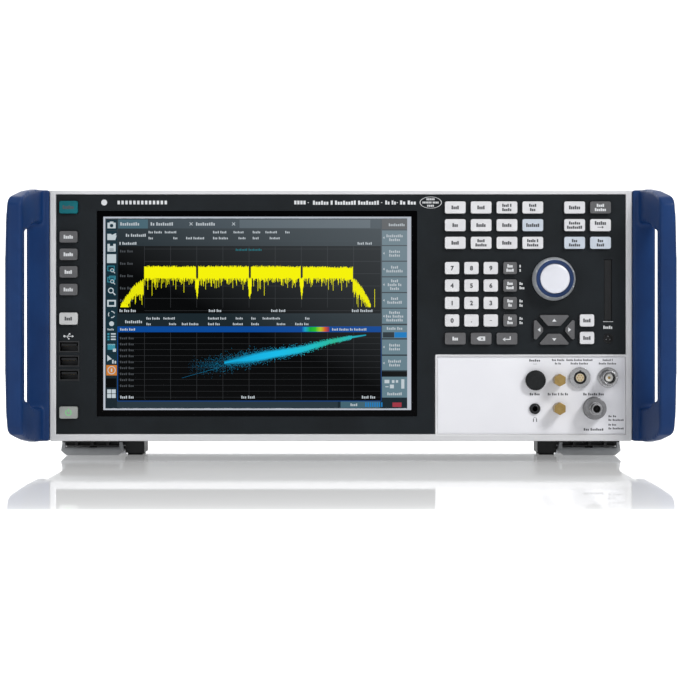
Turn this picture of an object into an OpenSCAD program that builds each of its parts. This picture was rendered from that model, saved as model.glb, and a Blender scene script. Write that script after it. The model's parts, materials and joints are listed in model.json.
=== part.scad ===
// Bench spectrum analyzer, four rack units high, with side handles and folding front feet.
//
// Everything is drawn about the centre of the dark front panel's face: +X to the right,
// +Y into the case, +Z up. place() then stands the instrument on its feet, with the origin
// under the middle of the whole instrument.

/* [Case] */
// Height of the case without its feet
case_h = 177; // [175:1:180]
// Width of the case between the two handles
case_w = 426; // [424:1:428]
// Depth from the front panel's face to the back of the rear panel
case_d = 352; // [340:1:380]
// Thickness of the sheet metal covers
sheet_t = 1.2; // [1:0.1:1.5]
// Height of the feet under the case
foot_h = 14.5; // [14:0.5:16]
// How far the rear feet stand out behind the rear panel
rear_foot_d = 20; // [15:1:25]

/* [Handles] */
// Width over both handles
overall_w = 462; // [460:1:466]
// How far the handles stand out in front of the panel
handle_reach = 45; // [42:1:50]
// Depth of the grip bar, front to back
grip_d = 14; // [12:1:16]

/* [Front] */
// Width of the silver frame
bezel_w = 411; // [409:1:412]
// Thickness of the dark front panel
panel_t = 3; // [2.5:0.1:3.2]
// How far a key stands out of the panel
key_rise = 3; // [2.5:0.1:3.5]
// How far a key travels when it is pressed
key_travel = 1.2; // [0.8:0.1:1.2]
// Width of the lit picture of the 10.1 inch screen
screen_w = 217; // [215:1:218]
// Height of the lit picture
screen_h = 136; // [134:1:137]
// Radius of the main knob where it meets the panel
knob_r = 15.3; // [14:0.1:15.5]
// How far the main knob stands out
knob_h = 12; // [10:0.5:14]

/* [Feet] */
// Width of a tilt foot
tilt_w = 46; // [44:1:46]
// Length of a tilt foot from its hinge pin to its tip
tilt_l = 46; // [40:1:50]

/* [Hidden] */
$fn = 48;

// Levels and gaps that everything shares
half_h = case_h / 2;
half_w = case_w / 2;
overall_d = handle_reach + case_d + rear_foot_d;
floor_z = -half_h - foot_h;
gap = 0.3;              // between a moving piece and its neighbours
seat_gap = 0.1;         // round a fixed piece in its cut-out
bezel_front = -1;
bezel_back = 14;
panel_top = half_h - 3;
panel_bottom = -half_h + 4.9;
panel_x = bezel_w / 2 - 4.6;

// The light connector field at the lower right, and the silver strip that borders it
field_x = 66.4;
field_z = -27.3;
strip_w = 1.8;
field_y = 0.6;          // its face lies this far behind the dark panel's

// Display
glass_w = 225.7;
glass_h = 144.8;
glass_x = -59.2;
glass_z = 1.4;
glass_y = 0.1;
glass_t = 1.5;
window_w = screen_w + 3;
window_h = screen_h + 3;

// Keys: each is [centre x, centre z, width, height]
wide_key = [14.5, 8.4];
small_key = [10, 8.5];
left_key_w = 12.8;
left_x = -191.9;
key_r = 1.2;
key_flange = 1.2;       // a key's collar behind the panel stands out this far all round
column_pitch = 18.2;
function_x = 80.6;
marker_x = 164.7;
function_z = 76.2;
function_pitch = 12.45;
number_x = 78.35;
number_pitch = 13.63;
number_z = 33.5;
number_row = 12.3;
edit_z = number_z - 4 * number_row - 0.5;
undo_x = 173.4;

wide_columns = concat(
    [for (i = [0:3]) function_x + i * column_pitch],
    [for (i = [0:1]) marker_x + i * column_pitch]
);
function wide_row(i) = [
    for (x = wide_columns) [x, function_z - i * function_pitch, wide_key[0], wide_key[1]]
];
function number_row_keys(i) = [
    for (c = [0:3]) [number_x + c * number_pitch, number_z - i * number_row,
        c < 3 ? small_key[0] : small_key[0] - 0.5, small_key[1]]
];
// The last number row also carries the escape, erase and enter keys under it
edit_keys = [for (i = [0:2]) [function_x + i * column_pitch, edit_z, wide_key[0], 8.2]];
undo_keys = [
    for (i = [3:4]) [undo_x, number_z - i * number_row, small_key[0], small_key[1]]
];
preset = [left_x, 76.4, left_key_w, 8.8];
setup = [left_x, 55.5, left_key_w - 0.3, 8];
print = [left_x, 43.2, left_key_w - 0.3, 8];
file = [left_x, 30.8, left_key_w - 0.3, 8];
tools = [left_x, 18.4, left_key_w - 0.3, 8];
mode = [left_x, -2.1, left_key_w, 8.4];
power = [left_x, -68.3, left_key_w, 8.4];
left_keys = [preset, setup, print, file, tools, mode, power];
right_keys = concat(wide_row(0), wide_row(1), wide_row(2), number_row_keys(0),
    number_row_keys(1), number_row_keys(2), number_row_keys(3), edit_keys, undo_keys);

// Cursor keys: outlines about the pad's centre, each with its point cut off
pad = [150.3, -10];
up_outline = [[-9.6, 10.4], [-10.2, 9.4], [-5, 3.4], [-4.2, 2.8],
    [4.2, 2.8], [5, 3.4], [10.2, 9.4], [9.6, 10.4]];
left_outline = [[-14.3, 6.1], [-13.7, 6.7], [-12.6, 6.7], [-7.9, 1.2],
    [-7.9, -1.2], [-12.6, -6.7], [-13.7, -6.7], [-14.3, -6.1]];

// Controls and sockets
knob = [150.1, 25.9];
shaft_r = 3;
knob_front_r = knob_r - 1.8;
volume = [137.2, -45.6];
volume_r = 7.2;
headphone = [136.9, -65.7];
headphone_bore = 1.8;
headphone_depth = 14;
mixer_x = 153.4;
mixer_z = [-45.2, -65.2];
sensor = [168.6, -43.8];
trigger = [188.4, -43.6];
rf = [178.6, -65.2];
rf_barrel_r = 3.5;      // the outside of the M7 thread that a test cable screws on to
rf_body_front = -13;
rf_front = -19;
slot = [188.5, 18, 5.4, 43.4];
probe = [188.7, -16.1];
probe_r = 3.5;
usb_z = [-21.9, -32, -41.9];
usb_w = 12.8;
usb_h = 6.2;

// Rear
rear_y = case_d - 2;    // the rear panel's inner face
fan = [110, 12];
fan_size = 92;
fan_d = 25;
inlet = [-158, -52];
inlet_w = 27.6;
inlet_h = 20;
rocker = [-158, -24];
lan = [-60, -50];
rear_usb = [-30, -50];
bnc_x = [-110, -84, -84 + 26 * 3];
bnc_z = -20;

// Feet
foot_x = 183;           // middle of a tilt foot
tilt_y = 74;            // its hinge pin
tilt_z = -half_h - 11.1;
barrel_r = 3.3;
pin_r = 1;
lug_w = 6;
lug_r = 1.9;            // the lug round the pin
skin_y = -2.1;          // the bar closes in front of the lug up to here
foot_half = 23.5;       // half the width of the base over the tilt foot
foot_d = 62;
foot_plate = 7.3;       // thickness of the base above the tilt foot
rest_w = 14;            // width and depth of the block that carries the rubber pad
rest_d = 32;
pad_t = 1.6;
pocket_pitch = 11.4;

// Handle flange: its outer face, its front face and where the arms begin
flange_x = overall_w / 2 - 9.4;
flange_y = -3;
arm_root = 209.4;

// Handle screws: [y, z] on each side, and rear feet: [x, z]
handle_screws = [[32, 70], [32, 0], [32, -70]];
rear_corners = [for (sx = [-1, 1], sz = [-1, 1]) [sx, sz]];
screw_r = 2;
head_r = 3.6;
head_h = 2.2;

// Helpers -------------------------------------------------------------------

module place() translate([0, handle_reach - overall_d / 2, foot_h + half_h]) children();

function corner(cx, cy, r, start, n) = [
    for (i = [0:n]) [cx + r * cos(start + 90 * i / n), cy + r * sin(start + 90 * i / n)]
];
// Outline of a rectangle with round corners about [x, y]
function round_rect(w, h, r, x = 0, y = 0, n = 4) = concat(
    corner(x + w / 2 - r, y + h / 2 - r, r, 0, n),
    corner(x - w / 2 + r, y + h / 2 - r, r, 90, n),
    corner(x - w / 2 + r, y - h / 2 + r, r, 180, n),
    corner(x + w / 2 - r, y - h / 2 + r, r, 270, n)
);

// Thickens an outline in X and Z between two depths
module slab(y0, y1) translate([0, y1, 0]) rotate([90, 0, 0]) linear_extrude(y1 - y0) children();

// A round bar along Y at [x, z]
module rod(at, y0, y1, r, r2 = undef)
    translate([at[0], y1, at[1]]) rotate([90, 0, 0])
        cylinder(h = y1 - y0, r1 = is_undef(r2) ? r : r2, r2 = r);

// A box from corner to corner
module block(low, high) translate(low) cube(high - low);

module at(p) translate([p[0], 0, p[1]]) children();

module both_sides() for (s = [-1, 1]) scale_x(s) children();
module scale_x(s) { if (s > 0) children(); else mirror([1, 0, 0]) children(); }

module key_outline(k, grow = 0)
    polygon(round_rect(k[2] + 2 * grow, k[3] + 2 * grow, key_r + max(grow, 0), k[0], k[1]));

// A key: the cap that shows, and the collar that keeps it behind the panel
module key(k) {
    slab(-key_rise, panel_t + gap) key_outline(k);
    slab(panel_t + gap, panel_t + gap + 1) key_outline(k, key_flange);
}

module cursor_key(outline) {
    slab(-key_rise, panel_t + gap) translate(pad) polygon(outline);
    slab(panel_t + gap, panel_t + gap + 1) translate(pad) offset(delta = 0.8) polygon(outline);
}

function turned(outline) = [for (p = outline) [-p[0], -p[1]]];
cursor_outlines = [up_outline, turned(up_outline), left_outline, turned(left_outline)];

// Front ---------------------------------------------------------------------

module front_bezel() color("gainsboro") {
    difference() {
        slab(bezel_front, bezel_back) polygon(round_rect(bezel_w, case_h, 1.5));
        slab(bezel_front - 1, bezel_back + 1)
            translate([-panel_x, panel_bottom]) square([2 * panel_x, panel_top - panel_bottom]);
    }
    // ledges that the panels are screwed against
    for (z = [panel_top - 2.4, panel_bottom])
        block([-panel_x, panel_t, z], [panel_x, panel_t + 3, z + 2.4]);
    // strip round the connector field
    block([field_x, bezel_front, panel_bottom], [field_x + strip_w, panel_t, field_z]);
    block([field_x, bezel_front, field_z - strip_w], [panel_x, panel_t, field_z]);
}

module panel_outline() difference() {
    translate([-panel_x + seat_gap, panel_bottom + seat_gap])
        square([2 * (panel_x - seat_gap), panel_top - panel_bottom - 2 * seat_gap]);
    translate([field_x - seat_gap, panel_bottom - 1])
        square([panel_x - field_x + 1, field_z - panel_bottom + 1 + seat_gap]);
}

module front_panel() color("#23282c") difference() {
    slab(0, panel_t) difference() {
        panel_outline();
        translate([glass_x, glass_z]) square([window_w, window_h], center = true);
        for (k = concat(left_keys, right_keys)) key_outline(k, gap);
        translate(pad) for (o = cursor_outlines) offset(delta = gap) polygon(o);
        for (z = usb_z) translate([left_x, z]) square([usb_w + 2, usb_h + 2], center = true);
        polygon(round_rect(slot[2], slot[3], 0.5, slot[0], slot[1]));
    }
    // rebate that the glass lies in
    slab(-1, glass_y + glass_t) translate([glass_x, glass_z])
        square([glass_w + 0.4, glass_h + 0.4], center = true);
    rod(knob, -1, panel_t + 1, shaft_r + 2.2);
    rod(probe, -1, panel_t + 1, probe_r + seat_gap);
}

module connector_panel() color("whitesmoke") difference() {
    block([field_x + strip_w + seat_gap, field_y, panel_bottom + seat_gap],
        [panel_x - seat_gap, field_y + 2, field_z - strip_w - seat_gap]);
    rod(volume, -1, 4, 3.4);
    rod(headphone, -1, 4, 3.2);
    for (z = mixer_z) rod([mixer_x, z], -1, 4, 3.3);
    rod(sensor, -1, 4, 5.6);
    rod(trigger, -1, 4, 5);
    rod(rf, -1, 4, 5.6);
}

module touch_glass() color("#08090b")
    slab(glass_y, glass_y + glass_t) polygon(round_rect(glass_w, glass_h, 1, glass_x, glass_z));

module lcd_module() color("dimgray") {
    slab(glass_y + glass_t, panel_t + 5.5) translate([glass_x, glass_z])
        square([window_w - 1, window_h - 1], center = true);
    slab(panel_t + gap, panel_t + 5.5) translate([glass_x, glass_z])
        difference() {
            square([window_w + 9, window_h + 7], center = true);
            square([window_w - 1, window_h - 1], center = true);
        }
    // driver board and backlight lead on the back
    block([glass_x - 80, panel_t + 5.5, glass_z - 50], [glass_x + 10, panel_t + 7.5, glass_z - 20]);
}

mat_y = panel_t + gap + 1 + key_travel + gap;   // face of the mat's pads

// Silicone mats with one pad under each key
module key_mat() color("darkgray") {
    for (k = concat(left_keys, right_keys))
        slab(mat_y, mat_y + 1.1) key_outline(k, -1.1);
    for (o = cursor_outlines)
        slab(mat_y, mat_y + 1.1) translate(pad) offset(delta = -1.2) polygon(o);
    slab(mat_y + 1, mat_y + 2) difference() {
        translate([69.5, -22.5]) square([127, 105]);
        polygon(round_rect(24, 24, 6, knob[0], knob[1]));
        translate([180.2, -24]) square([20, 64.5]);
    }
    slab(mat_y + 1, mat_y + 2) translate([left_x - 7.8, -8]) square([15.6, 90]);
    slab(mat_y + 1, mat_y + 2) translate([left_x - 7.8, -75]) square([15.6, 14]);
}

board_y = mat_y + 2.1;

// Key boards behind the mats, and the main board across the case
module circuit_boards() color("seagreen") {
    slab(board_y, board_y + 1.6) difference() {
        union() {
            translate([68, -24]) square([112, 108]);
            translate([179, 42]) square([17.5, 42]);
        }
        polygon(round_rect(22, 22, 2, knob[0], knob[1]));
    }
    slab(board_y, board_y + 1.6) translate([left_x - 7.8, -8]) square([15.6, 90]);
    slab(board_y, board_y + 1.6) translate([left_x - 7.8, -75]) square([15.6, 14]);
    // key scanner and lead sockets on the right board
    for (x = [80, 104]) block([x, board_y + 1.6, 40], [x + 12, board_y + 3.2, 52]);
    block([76, board_y + 1.6, -18], [110, board_y + 6, -12]);
    // main board, lying on its posts over the chassis floor
    block([-40, 60, -60], [200, 300, -58.4]);
    for (x = [-30, 80, 190], y = [70, 180, 290])
        translate([x, y, -half_h + 2.8]) cylinder(h = half_h - 2.8 - 60, r = 3);
    // processor with its heat sink, memory and power stages
    block([40, 200, -58.4], [90, 250, -54]);
    for (i = [0:7]) block([41 + i * 6.5, 200, -54], [43 + i * 6.5, 250, -34]);
    block([110, 210, -58.4], [180, 214, -28]);
    block([110, 222, -58.4], [180, 226, -28]);
    for (x = [-20, 0, 150]) block([x, 90, -58.4], [x + 14, 104, -48]);
}

module slot_cover() color("#1d1c1b")
    slab(1, panel_t + 1.2) polygon(round_rect(slot[2] - 2 * seat_gap, slot[3] - 2 * seat_gap,
        0.4, slot[0], slot[1]));

// Three sockets in metal shells, each with its tongue, on one small board
module usb_ports() color("#2b2d2f") {
    for (z = usb_z) {
        difference() {
            block([left_x - usb_w / 2 - 0.9, 0.2, z - usb_h / 2 - 0.9],
                [left_x + usb_w / 2 + 0.9, bezel_back, z + usb_h / 2 + 0.9]);
            block([left_x - usb_w / 2, -1, z - usb_h / 2],
                [left_x + usb_w / 2, bezel_back - 1, z + usb_h / 2]);
        }
        block([left_x - 5.5, 2, z + 0.4], [left_x + 5.5, bezel_back - 1, z + 2.3]);
    }
    block([left_x - 7.8, bezel_back, usb_z[2] - 6], [left_x + 7.8, bezel_back + 1.6, usb_z[0] + 6]);
}

module probe_socket() color("#101112") difference() {
    union() {
        rod(probe, -0.4, panel_t + 9, probe_r);
        rod(probe, panel_t + 1, panel_t + 4, probe_r + 1.5);
    }
    rod(probe, -1, 1.5, probe_r - 0.7);
    for (a = [90, 210, 330])
        rod(probe + 1.5 * [cos(a), sin(a)], 1, 6, 0.4);
}

// The rotary encoder and the volume control, each a can with a threaded neck
module control_bodies() color("silver") {
    difference() {
        union() {
            block([knob[0] - 8, 5.5, knob[1] - 8], [knob[0] + 8, 20, knob[1] + 8]);
            rod(knob, 0.3, 5.5, 5);
        }
        rod(knob, -1, 14.5, shaft_r + 0.06);
        rod(knob, 14.5, 18.8, 5);
    }
    difference() {
        union() {
            block([volume[0] - 6, 6, volume[1] - 6], [volume[0] + 6, 16, volume[1] + 6]);
            rod(volume, field_y, 6, 3.3);
        }
        rod(volume, -1, 12, 1.56);
    }
}

module headphone_jack() color("#17181a") difference() {
    union() {
        rod(headphone, -1.2, field_y, 3.8);
        rod(headphone, field_y, 8, 3.1);
        block([headphone[0] - 5, 4, headphone[1] - 5], [headphone[0] + 5, 17, headphone[1] + 5]);
    }
    rod(headphone, -2, headphone_depth - 1.2, headphone_bore);
}

// Two small threaded ports, each closed by a hexagonal cap
module mixer_ports() color("goldenrod") for (z = mixer_z) {
    at([mixer_x, z]) {
        rod([0, 0], -3, 10, 3.2);
        rod([0, 0], -1.4, field_y, 3.9);
        rod([0, 0], -3.4, -2.6, 3.5);
        translate([0, -3.4, 0]) rotate([90, 30, 0]) cylinder(h = 10.6, r = 4.5, $fn = 6);
    }
}

module sensor_socket() color("lightgray") difference() {
    union() {
        rod(sensor, -2.4, field_y, 7.4);
        rod(sensor, field_y, 12, 5.5);
        rod(sensor, 2.7, 5.2, 7.2);
    }
    difference() {
        rod(sensor, -3, 7, 4.5);
        rod(sensor, -1.4, 8, 3.1);
    }
    at(sensor) block([-0.7, -3, 4], [0.7, 2, 5.2]);
    for (i = [0:5]) rod(sensor + 1.9 * [cos(60 * i), sin(60 * i)], -2, 3, 0.45);
}

module trigger_socket() color("silver") {
    difference() {
        union() {
            rod(trigger, -1.4, field_y, 7.1);
            rod(trigger, -12, 10, 4.85);
            rod(trigger, 2.7, 5.2, 6.8);
        }
        rod(trigger, -13, 4, 4.1);
    }
    rod(trigger, -7.5, 4, 2.6);
    for (s = [-1, 1]) translate([trigger[0] + s * 4.5, -8.5, trigger[1]])
        rotate([0, 90 * s, 0]) cylinder(h = 1.4, r = 1);
}

module rf_input() color("silver") difference() {
    union() {
        rod(rf, -2.6, field_y, 8.1);
        rod(rf, rf_body_front, -2.6, 7.5);
        rod(rf, rf_front, rf_body_front, rf_barrel_r);
        rod(rf, field_y, 24, 5.5);
        rod(rf, 2.7, 5.4, 8);
    }
    difference() {
        rod(rf, rf_front - 1, rf_front + 8, 2.6);
        rod(rf, rf_front + 2.5, rf_front + 9, 0.6);
    }
}

// Handles -------------------------------------------------------------------

// Seen from above: the flange beside the frame, and the arms that slant out to the grip
module handle_plan(outer) polygon([
    [bezel_w / 2 + seat_gap, flange_y], [arm_root, flange_y], [arm_root + 1, flange_y - 1.5],
    [outer - 12.2, -handle_reach + 2], [outer - 10.6, -handle_reach],
    [outer - 2.5, -handle_reach], [outer, -handle_reach + 2.5],
    [outer, -handle_reach + grip_d], [flange_x, flange_y - 1], [flange_x, 44],
    [flange_x - 1.5, 46], [half_w, 46], [half_w, bezel_back], [bezel_w / 2 + seat_gap, bezel_back]
]);

// Upper half of the side view, depth across and height up
handle_top = [[46, half_h - 2], [42, half_h], [-12, half_h], [-30, half_h - 2.2],
    [-handle_reach + 3.6, half_h - 6.5], [-handle_reach, half_h - 12]];
finger_top = [[flange_y, 63.5], [flange_y - 2, 65], [-14, 65.5], [-24, 63.5],
    [-handle_reach + grip_d, 59.5]];
function flipped(outline) = [for (i = [len(outline) - 1:-1:0]) [outline[i][0], -outline[i][1]]];

// Seen from the side: a D with its finger hole
module handle_side() difference() {
    polygon(concat(handle_top, flipped(handle_top)));
    polygon(concat(finger_top, flipped(finger_top)));
}

// Seen from the front: the outer corners fall away
handle_corner = [[200, half_h], [219, half_h], [227.8, half_h - 6.3], [229.2, half_h - 9],
    [230.4, half_h - 23], [overall_w / 2, half_h - 48]];
module handle_front() polygon(concat(handle_corner, flipped(handle_corner)));

module handle() difference() {
    outer = overall_w / 2;
    intersection() {
        translate([0, 0, -half_h]) linear_extrude(case_h) handle_plan(outer);
        // side view: [y, z] turned to stand across X
        translate([outer + 1, 0, 0]) rotate([90, 0, -90]) mirror([1, 0, 0])
            linear_extrude(40) handle_side();
        slab(-handle_reach - 1, 60) handle_front();
    }
    // the grip's inner face, straight from front to back
    block([200, -handle_reach - 1, -60], [outer - 12.1, -handle_reach + grip_d + 1, 60]);
    // round inner corners where the arms leave the flange
    for (s = [-1, 1]) slab(-handle_reach, flange_y) translate([arm_root, s * 63.4])
        difference() {
            translate([-2, s > 0 ? -2 : -6]) square([8, 8]);
            translate([6, s * 6]) circle(r = 6);
            translate([6, -10]) square([9, 20]);
            translate([-9, s > 0 ? 6 : -16]) square([30, 10]);
        }
    for (s = handle_screws) translate([0, s[0], s[1]]) rotate([0, 90, 0]) {
        translate([0, 0, half_w - 1]) cylinder(h = 20, r = screw_r + 0.05);
        translate([0, 0, flange_x - head_h]) cylinder(h = 20, r = head_r + 0.2);
    }
}

module handle_left() color("#15386b") scale_x(-1) handle();
module handle_right() color("#15386b") scale_x(1) handle();

// Case ----------------------------------------------------------------------

module screw_holes(from_x, to_x, r) both_sides()
    for (s = handle_screws) translate([from_x, s[0], s[1]]) rotate([0, 90, 0])
        cylinder(h = to_x - from_x, r = r);

// One folded sheet: the top and both sides, with cooling slots in the sides
module top_cover() color("lightgray") difference() {
    slab(bezel_back, case_d) difference() {
        polygon(round_rect(case_w, case_h, 3));
        polygon(round_rect(case_w - 2 * sheet_t, case_h - 2 * sheet_t, 1.8));
        translate([-half_w - 1, -half_h - 1]) square([case_w + 2, 5]);
    }
    for (z = [-44, 8], i = [0:17])
        translate([0, 196 + i * 8, z]) cube([case_w + 2, 3.2, 40], center = true);
    screw_holes(half_w - 3, half_w + 1, screw_r + 0.05);
}

cover_x = half_w - sheet_t - seat_gap;  // the bottom cover's lips stand inside the top cover

module bottom_cover() color("lightgray") {
    block([-cover_x, bezel_back, -half_h], [cover_x, case_d, -half_h + sheet_t]);
    both_sides()
        block([cover_x - sheet_t, bezel_back, -half_h], [cover_x, rear_y - 0.2, -half_h + 9]);
}

module rear_panel() color("lightgray") difference() {
    slab(rear_y, case_d)
        polygon(round_rect(2 * cover_x, case_h - 2 * (sheet_t + seat_gap), 2));
    // fan grille: rings of slots about the hub
    for (r = [14:7:42], q = [0:3])
        translate([fan[0], case_d - 1, fan[1]]) rotate([0, 90 * q, 0]) intersection() {
            rotate([90, 0, 0]) difference() {
                cylinder(h = 4, r = r + 1.9, center = true);
                cylinder(h = 5, r = r - 1.9, center = true);
            }
            block([1.5, -2, 1.5], [50, 2, 50]);
        }
    block([inlet[0] - inlet_w / 2, rear_y - 1, inlet[1] - inlet_h / 2],
        [inlet[0] + inlet_w / 2, case_d + 1, inlet[1] + inlet_h / 2]);
    block([rocker[0] - 11.2, rear_y - 1, rocker[1] - 7.2],
        [rocker[0] + 11.2, case_d + 1, rocker[1] + 7.2]);
    block([lan[0] - 8.1, rear_y - 1, lan[1] - 7.1], [lan[0] + 8.1, case_d + 1, lan[1] + 7.1]);
    block([rear_usb[0] - 7.4, rear_y - 1, rear_usb[1] - 8.1],
        [rear_usb[0] + 7.4, case_d + 1, rear_usb[1] + 8.1]);
    for (x = bnc_x) rod([x, bnc_z], rear_y - 1, case_d + 1, 5);
}

chassis_x = cover_x - sheet_t - seat_gap;

// Inner tray with side walls, a bulkhead behind the front and a divider
module chassis() color("silver") difference() {
    union() {
        block([-chassis_x, bezel_back, -half_h + sheet_t + 0.1],
            [chassis_x, rear_y, -half_h + sheet_t + 1.6]);
        both_sides() {
            block([chassis_x - 1.5, bezel_back, -half_h + sheet_t + 0.1],
                [chassis_x, rear_y, half_h - 5]);
            block([chassis_x - 12, bezel_back, half_h - 5], [chassis_x, rear_y, half_h - 3.5]);
        }
        block([-chassis_x, 40, -half_h + sheet_t + 1.6], [chassis_x, 41.5, half_h - 5]);
        block([-60, 41.5, -half_h + sheet_t + 1.6], [-58.5, rear_y - 30, half_h - 20]);
    }
    screw_holes(chassis_x - 3, chassis_x + 1, screw_r + 0.05);
    for (x = [-120, 0, 178]) translate([x, 40, -65]) rotate([90, 0, 0])
        cylinder(h = 10, r = 10, center = true);
}

module screw(head_first = 8) {
    cylinder(h = head_h, r = head_r);
    translate([0, 0, -head_first]) cylinder(h = head_first, r = screw_r);
}

// The screws that hold the handles, and those that hold the rear feet
module case_screws() color("dimgray") {
    both_sides() for (s = handle_screws)
        translate([flange_x - head_h, s[0], s[1]]) rotate([0, 90, 0]) screw(12);
    for (c = rear_corners)
        translate([c[0] * rear_foot_x, case_d + rear_foot_d - 6, c[1] * rear_foot_z])
            rotate([-90, 0, 0]) screw(13.9);
}

rear_foot_x = half_w - 16;
rear_foot_z = half_h - 16;

// A moulded corner at each corner of the rear panel. The lower two reach down to the table.
module rear_feet() color("#1b3a66") difference() {
    for (c = rear_corners) {
        slab(case_d, case_d + rear_foot_d) polygon(round_rect(30, 30, 6,
            c[0] * (half_w - 15), c[1] * (half_h - 15)));
        if (c[1] < 0) {
            slab(case_d - 24, case_d + rear_foot_d) polygon(round_rect(30, foot_h, 3,
                c[0] * (half_w - 15), floor_z + foot_h / 2));
            slab(case_d, case_d + rear_foot_d) translate([c[0] * (half_w - 15), -half_h])
                square([24, 16], center = true);
        }
    }
    for (c = rear_corners) {
        rod([c[0] * rear_foot_x, c[1] * rear_foot_z], case_d - 1, case_d + rear_foot_d + 1,
            screw_r + 0.05);
        rod([c[0] * rear_foot_x, c[1] * rear_foot_z], case_d + rear_foot_d - 6,
            case_d + rear_foot_d + 1, head_r + 0.2);
    }
}

// Front feet ----------------------------------------------------------------

// The black base under the case: a plate over the tilt foot, ribs, a block beside it and
// the lug that holds the hinge pin
module front_foot() difference() {
    union() {
        block([foot_x - foot_half, tilt_y - 4, -half_h - foot_plate],
            [foot_x + foot_half, tilt_y + foot_d - 4, -half_h]);
        block([foot_x - foot_half - rest_w, tilt_y + 8, floor_z + pad_t],
            [foot_x - foot_half + 0.1, tilt_y + 8 + rest_d, -half_h]);
        // the lug reaches forward to the pin from under the plate
        translate([foot_x, tilt_y, tilt_z]) rotate([0, 90, 0])
            cylinder(h = lug_w, r = lug_r, center = true);
        block([foot_x - lug_w / 2, tilt_y, tilt_z - 1.6],
            [foot_x + lug_w / 2, tilt_y + 12, tilt_z + 1.2]);
        block([foot_x - lug_w / 2, tilt_y + 7, tilt_z],
            [foot_x + lug_w / 2, tilt_y + 12, -half_h - foot_plate]);
    }
    // pockets between the ribs, open at the front
    for (i = [-1.5:1.5])
        block([foot_x + i * pocket_pitch - 4.7, tilt_y - 5, -half_h - foot_plate + 0.8],
            [foot_x + i * pocket_pitch + 4.7, tilt_y + 3, -half_h - 1.2]);
    // room for the ears of the tilt foot
    for (s = [-1, 1])
        block([foot_x + s * (foot_half - 2) - 2.1, tilt_y - 5, -half_h - foot_plate - 1],
            [foot_x + s * (foot_half - 2) + 2.1, tilt_y + 8.5, tilt_z + 8.2]);
    // slit in the block's inner side
    block([foot_x - foot_half - rest_w - 1, tilt_y + 7, -half_h - 4],
        [foot_x - foot_half - rest_w + 4, tilt_y + 9 + rest_d, -half_h - 3]);
    translate([foot_x, tilt_y, tilt_z]) rotate([0, 90, 0])
        cylinder(h = lug_w + 2, r = pin_r, center = true);
}

module front_feet() color("#1a1a1b") both_sides() front_foot();

// Rubber pads that the front rests on
module foot_pads() color("#0d0d0e") both_sides()
    block([foot_x - foot_half - rest_w + 1.5, tilt_y + 9.5, floor_z],
        [foot_x - foot_half - 1.5, tilt_y + 6.5 + rest_d, floor_z + pad_t]);

module hinge_pins() color("silver") both_sides()
    translate([foot_x, tilt_y, tilt_z]) rotate([0, 90, 0])
        cylinder(h = tilt_w - 6, r = pin_r, center = true);

// The outline of a tilt foot from the front: lower corners cut away, ears leaning in
module tilt_outline() {
    w = tilt_w / 2;
    polygon([[-w + 4, -barrel_r], [w - 4, -barrel_r], [w, 0.6], [w - 1, 6.5], [-w + 1, 6.5],
        [-w, 0.6]]);
}

// A tilt foot folded flat: a round bar at the hinge, an ear at each end of it and a plate
// behind it, forked round the lug
module tilt_foot() translate([foot_x, tilt_y, tilt_z]) difference() {
    intersection() {
        union() {
            rotate([0, 90, 0]) cylinder(h = tilt_w, r = barrel_r, center = true);
            translate([-tilt_w / 2, 0, -2.6]) cube([tilt_w, tilt_l - 3, 4.4]);
            translate([-tilt_w / 2 + 6, 0, -2.6]) cube([tilt_w - 12, tilt_l, 4.4]);
            for (s = [-1, 1])
                translate([s * (tilt_w / 2 - 1.5) - 1.5, -barrel_r + 0.6, 0]) cube([3, 5, 6.5]);
        }
        slab(-5, tilt_l + 1) tilt_outline();
    }
    // room for the lug, closed in front and below by the bar's skin
    block([-lug_w / 2 - gap, skin_y, -2.2], [lug_w / 2 + gap, barrel_r, 6]);
    block([-lug_w / 2 - gap, barrel_r - 0.1, -6], [lug_w / 2 + gap, 14, 6]);
    rotate([0, 90, 0]) cylinder(h = tilt_w + 2, r = pin_r + 0.06, center = true);
}

module tilt_foot_left() color("darkgray") scale_x(-1) tilt_foot();
module tilt_foot_right() color("darkgray") scale_x(1) tilt_foot();

// Inside --------------------------------------------------------------------

// Sheet metal case, open towards the front, with its fins, transformer and capacitors
module power_supply() color("silver") {
    difference() {
        block([-205, 200, -80], [-70, rear_y - 20, 30]);
        block([-203.5, 199, -78.5], [-71.5, rear_y - 21.5, 28.5]);
    }
    for (i = [0:8]) block([-200 + i * 14, 206, 30], [-198 + i * 14, rear_y - 26, 44]);
    block([-190, 230, -78.5], [-145, 290, -35]);
    for (x = [-125, -95], y = [230, 262, 294])
        translate([x, y, -78.5]) cylinder(h = 45, r = 11);
}

// Milled receiver block with its lid, and the rigid lead from the RF input
module rf_module() color("lightgray") {
    block([-40, 60, -20], [170, 210, 14]);
    block([-36, 64, 14], [166, 206, 17]);
    for (x = [0, 60, 120]) block([x - 8, 56, -10], [x + 8, 60, 6]);
    rod(rf, 24, 56, 1.8);
    translate([rf[0], 56, rf[1]]) sphere(r = 1.8);
    translate([rf[0], 56, rf[1]]) cylinder(h = -12 - rf[1], r = 1.8);
    translate([rf[0], 56, -12]) sphere(r = 1.8);
    translate([rf[0], 56, -12]) rotate([-90, 0, 0]) cylinder(h = 14, r = 1.8);
    translate([rf[0], 70, -12]) sphere(r = 1.8);
    translate([rf[0], 70, -12]) rotate([0, -90, 0]) cylinder(h = 10, r = 1.8);
}

fan_y = rear_y - fan_d - 1;
fan_axle_r = 1.5;

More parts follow.
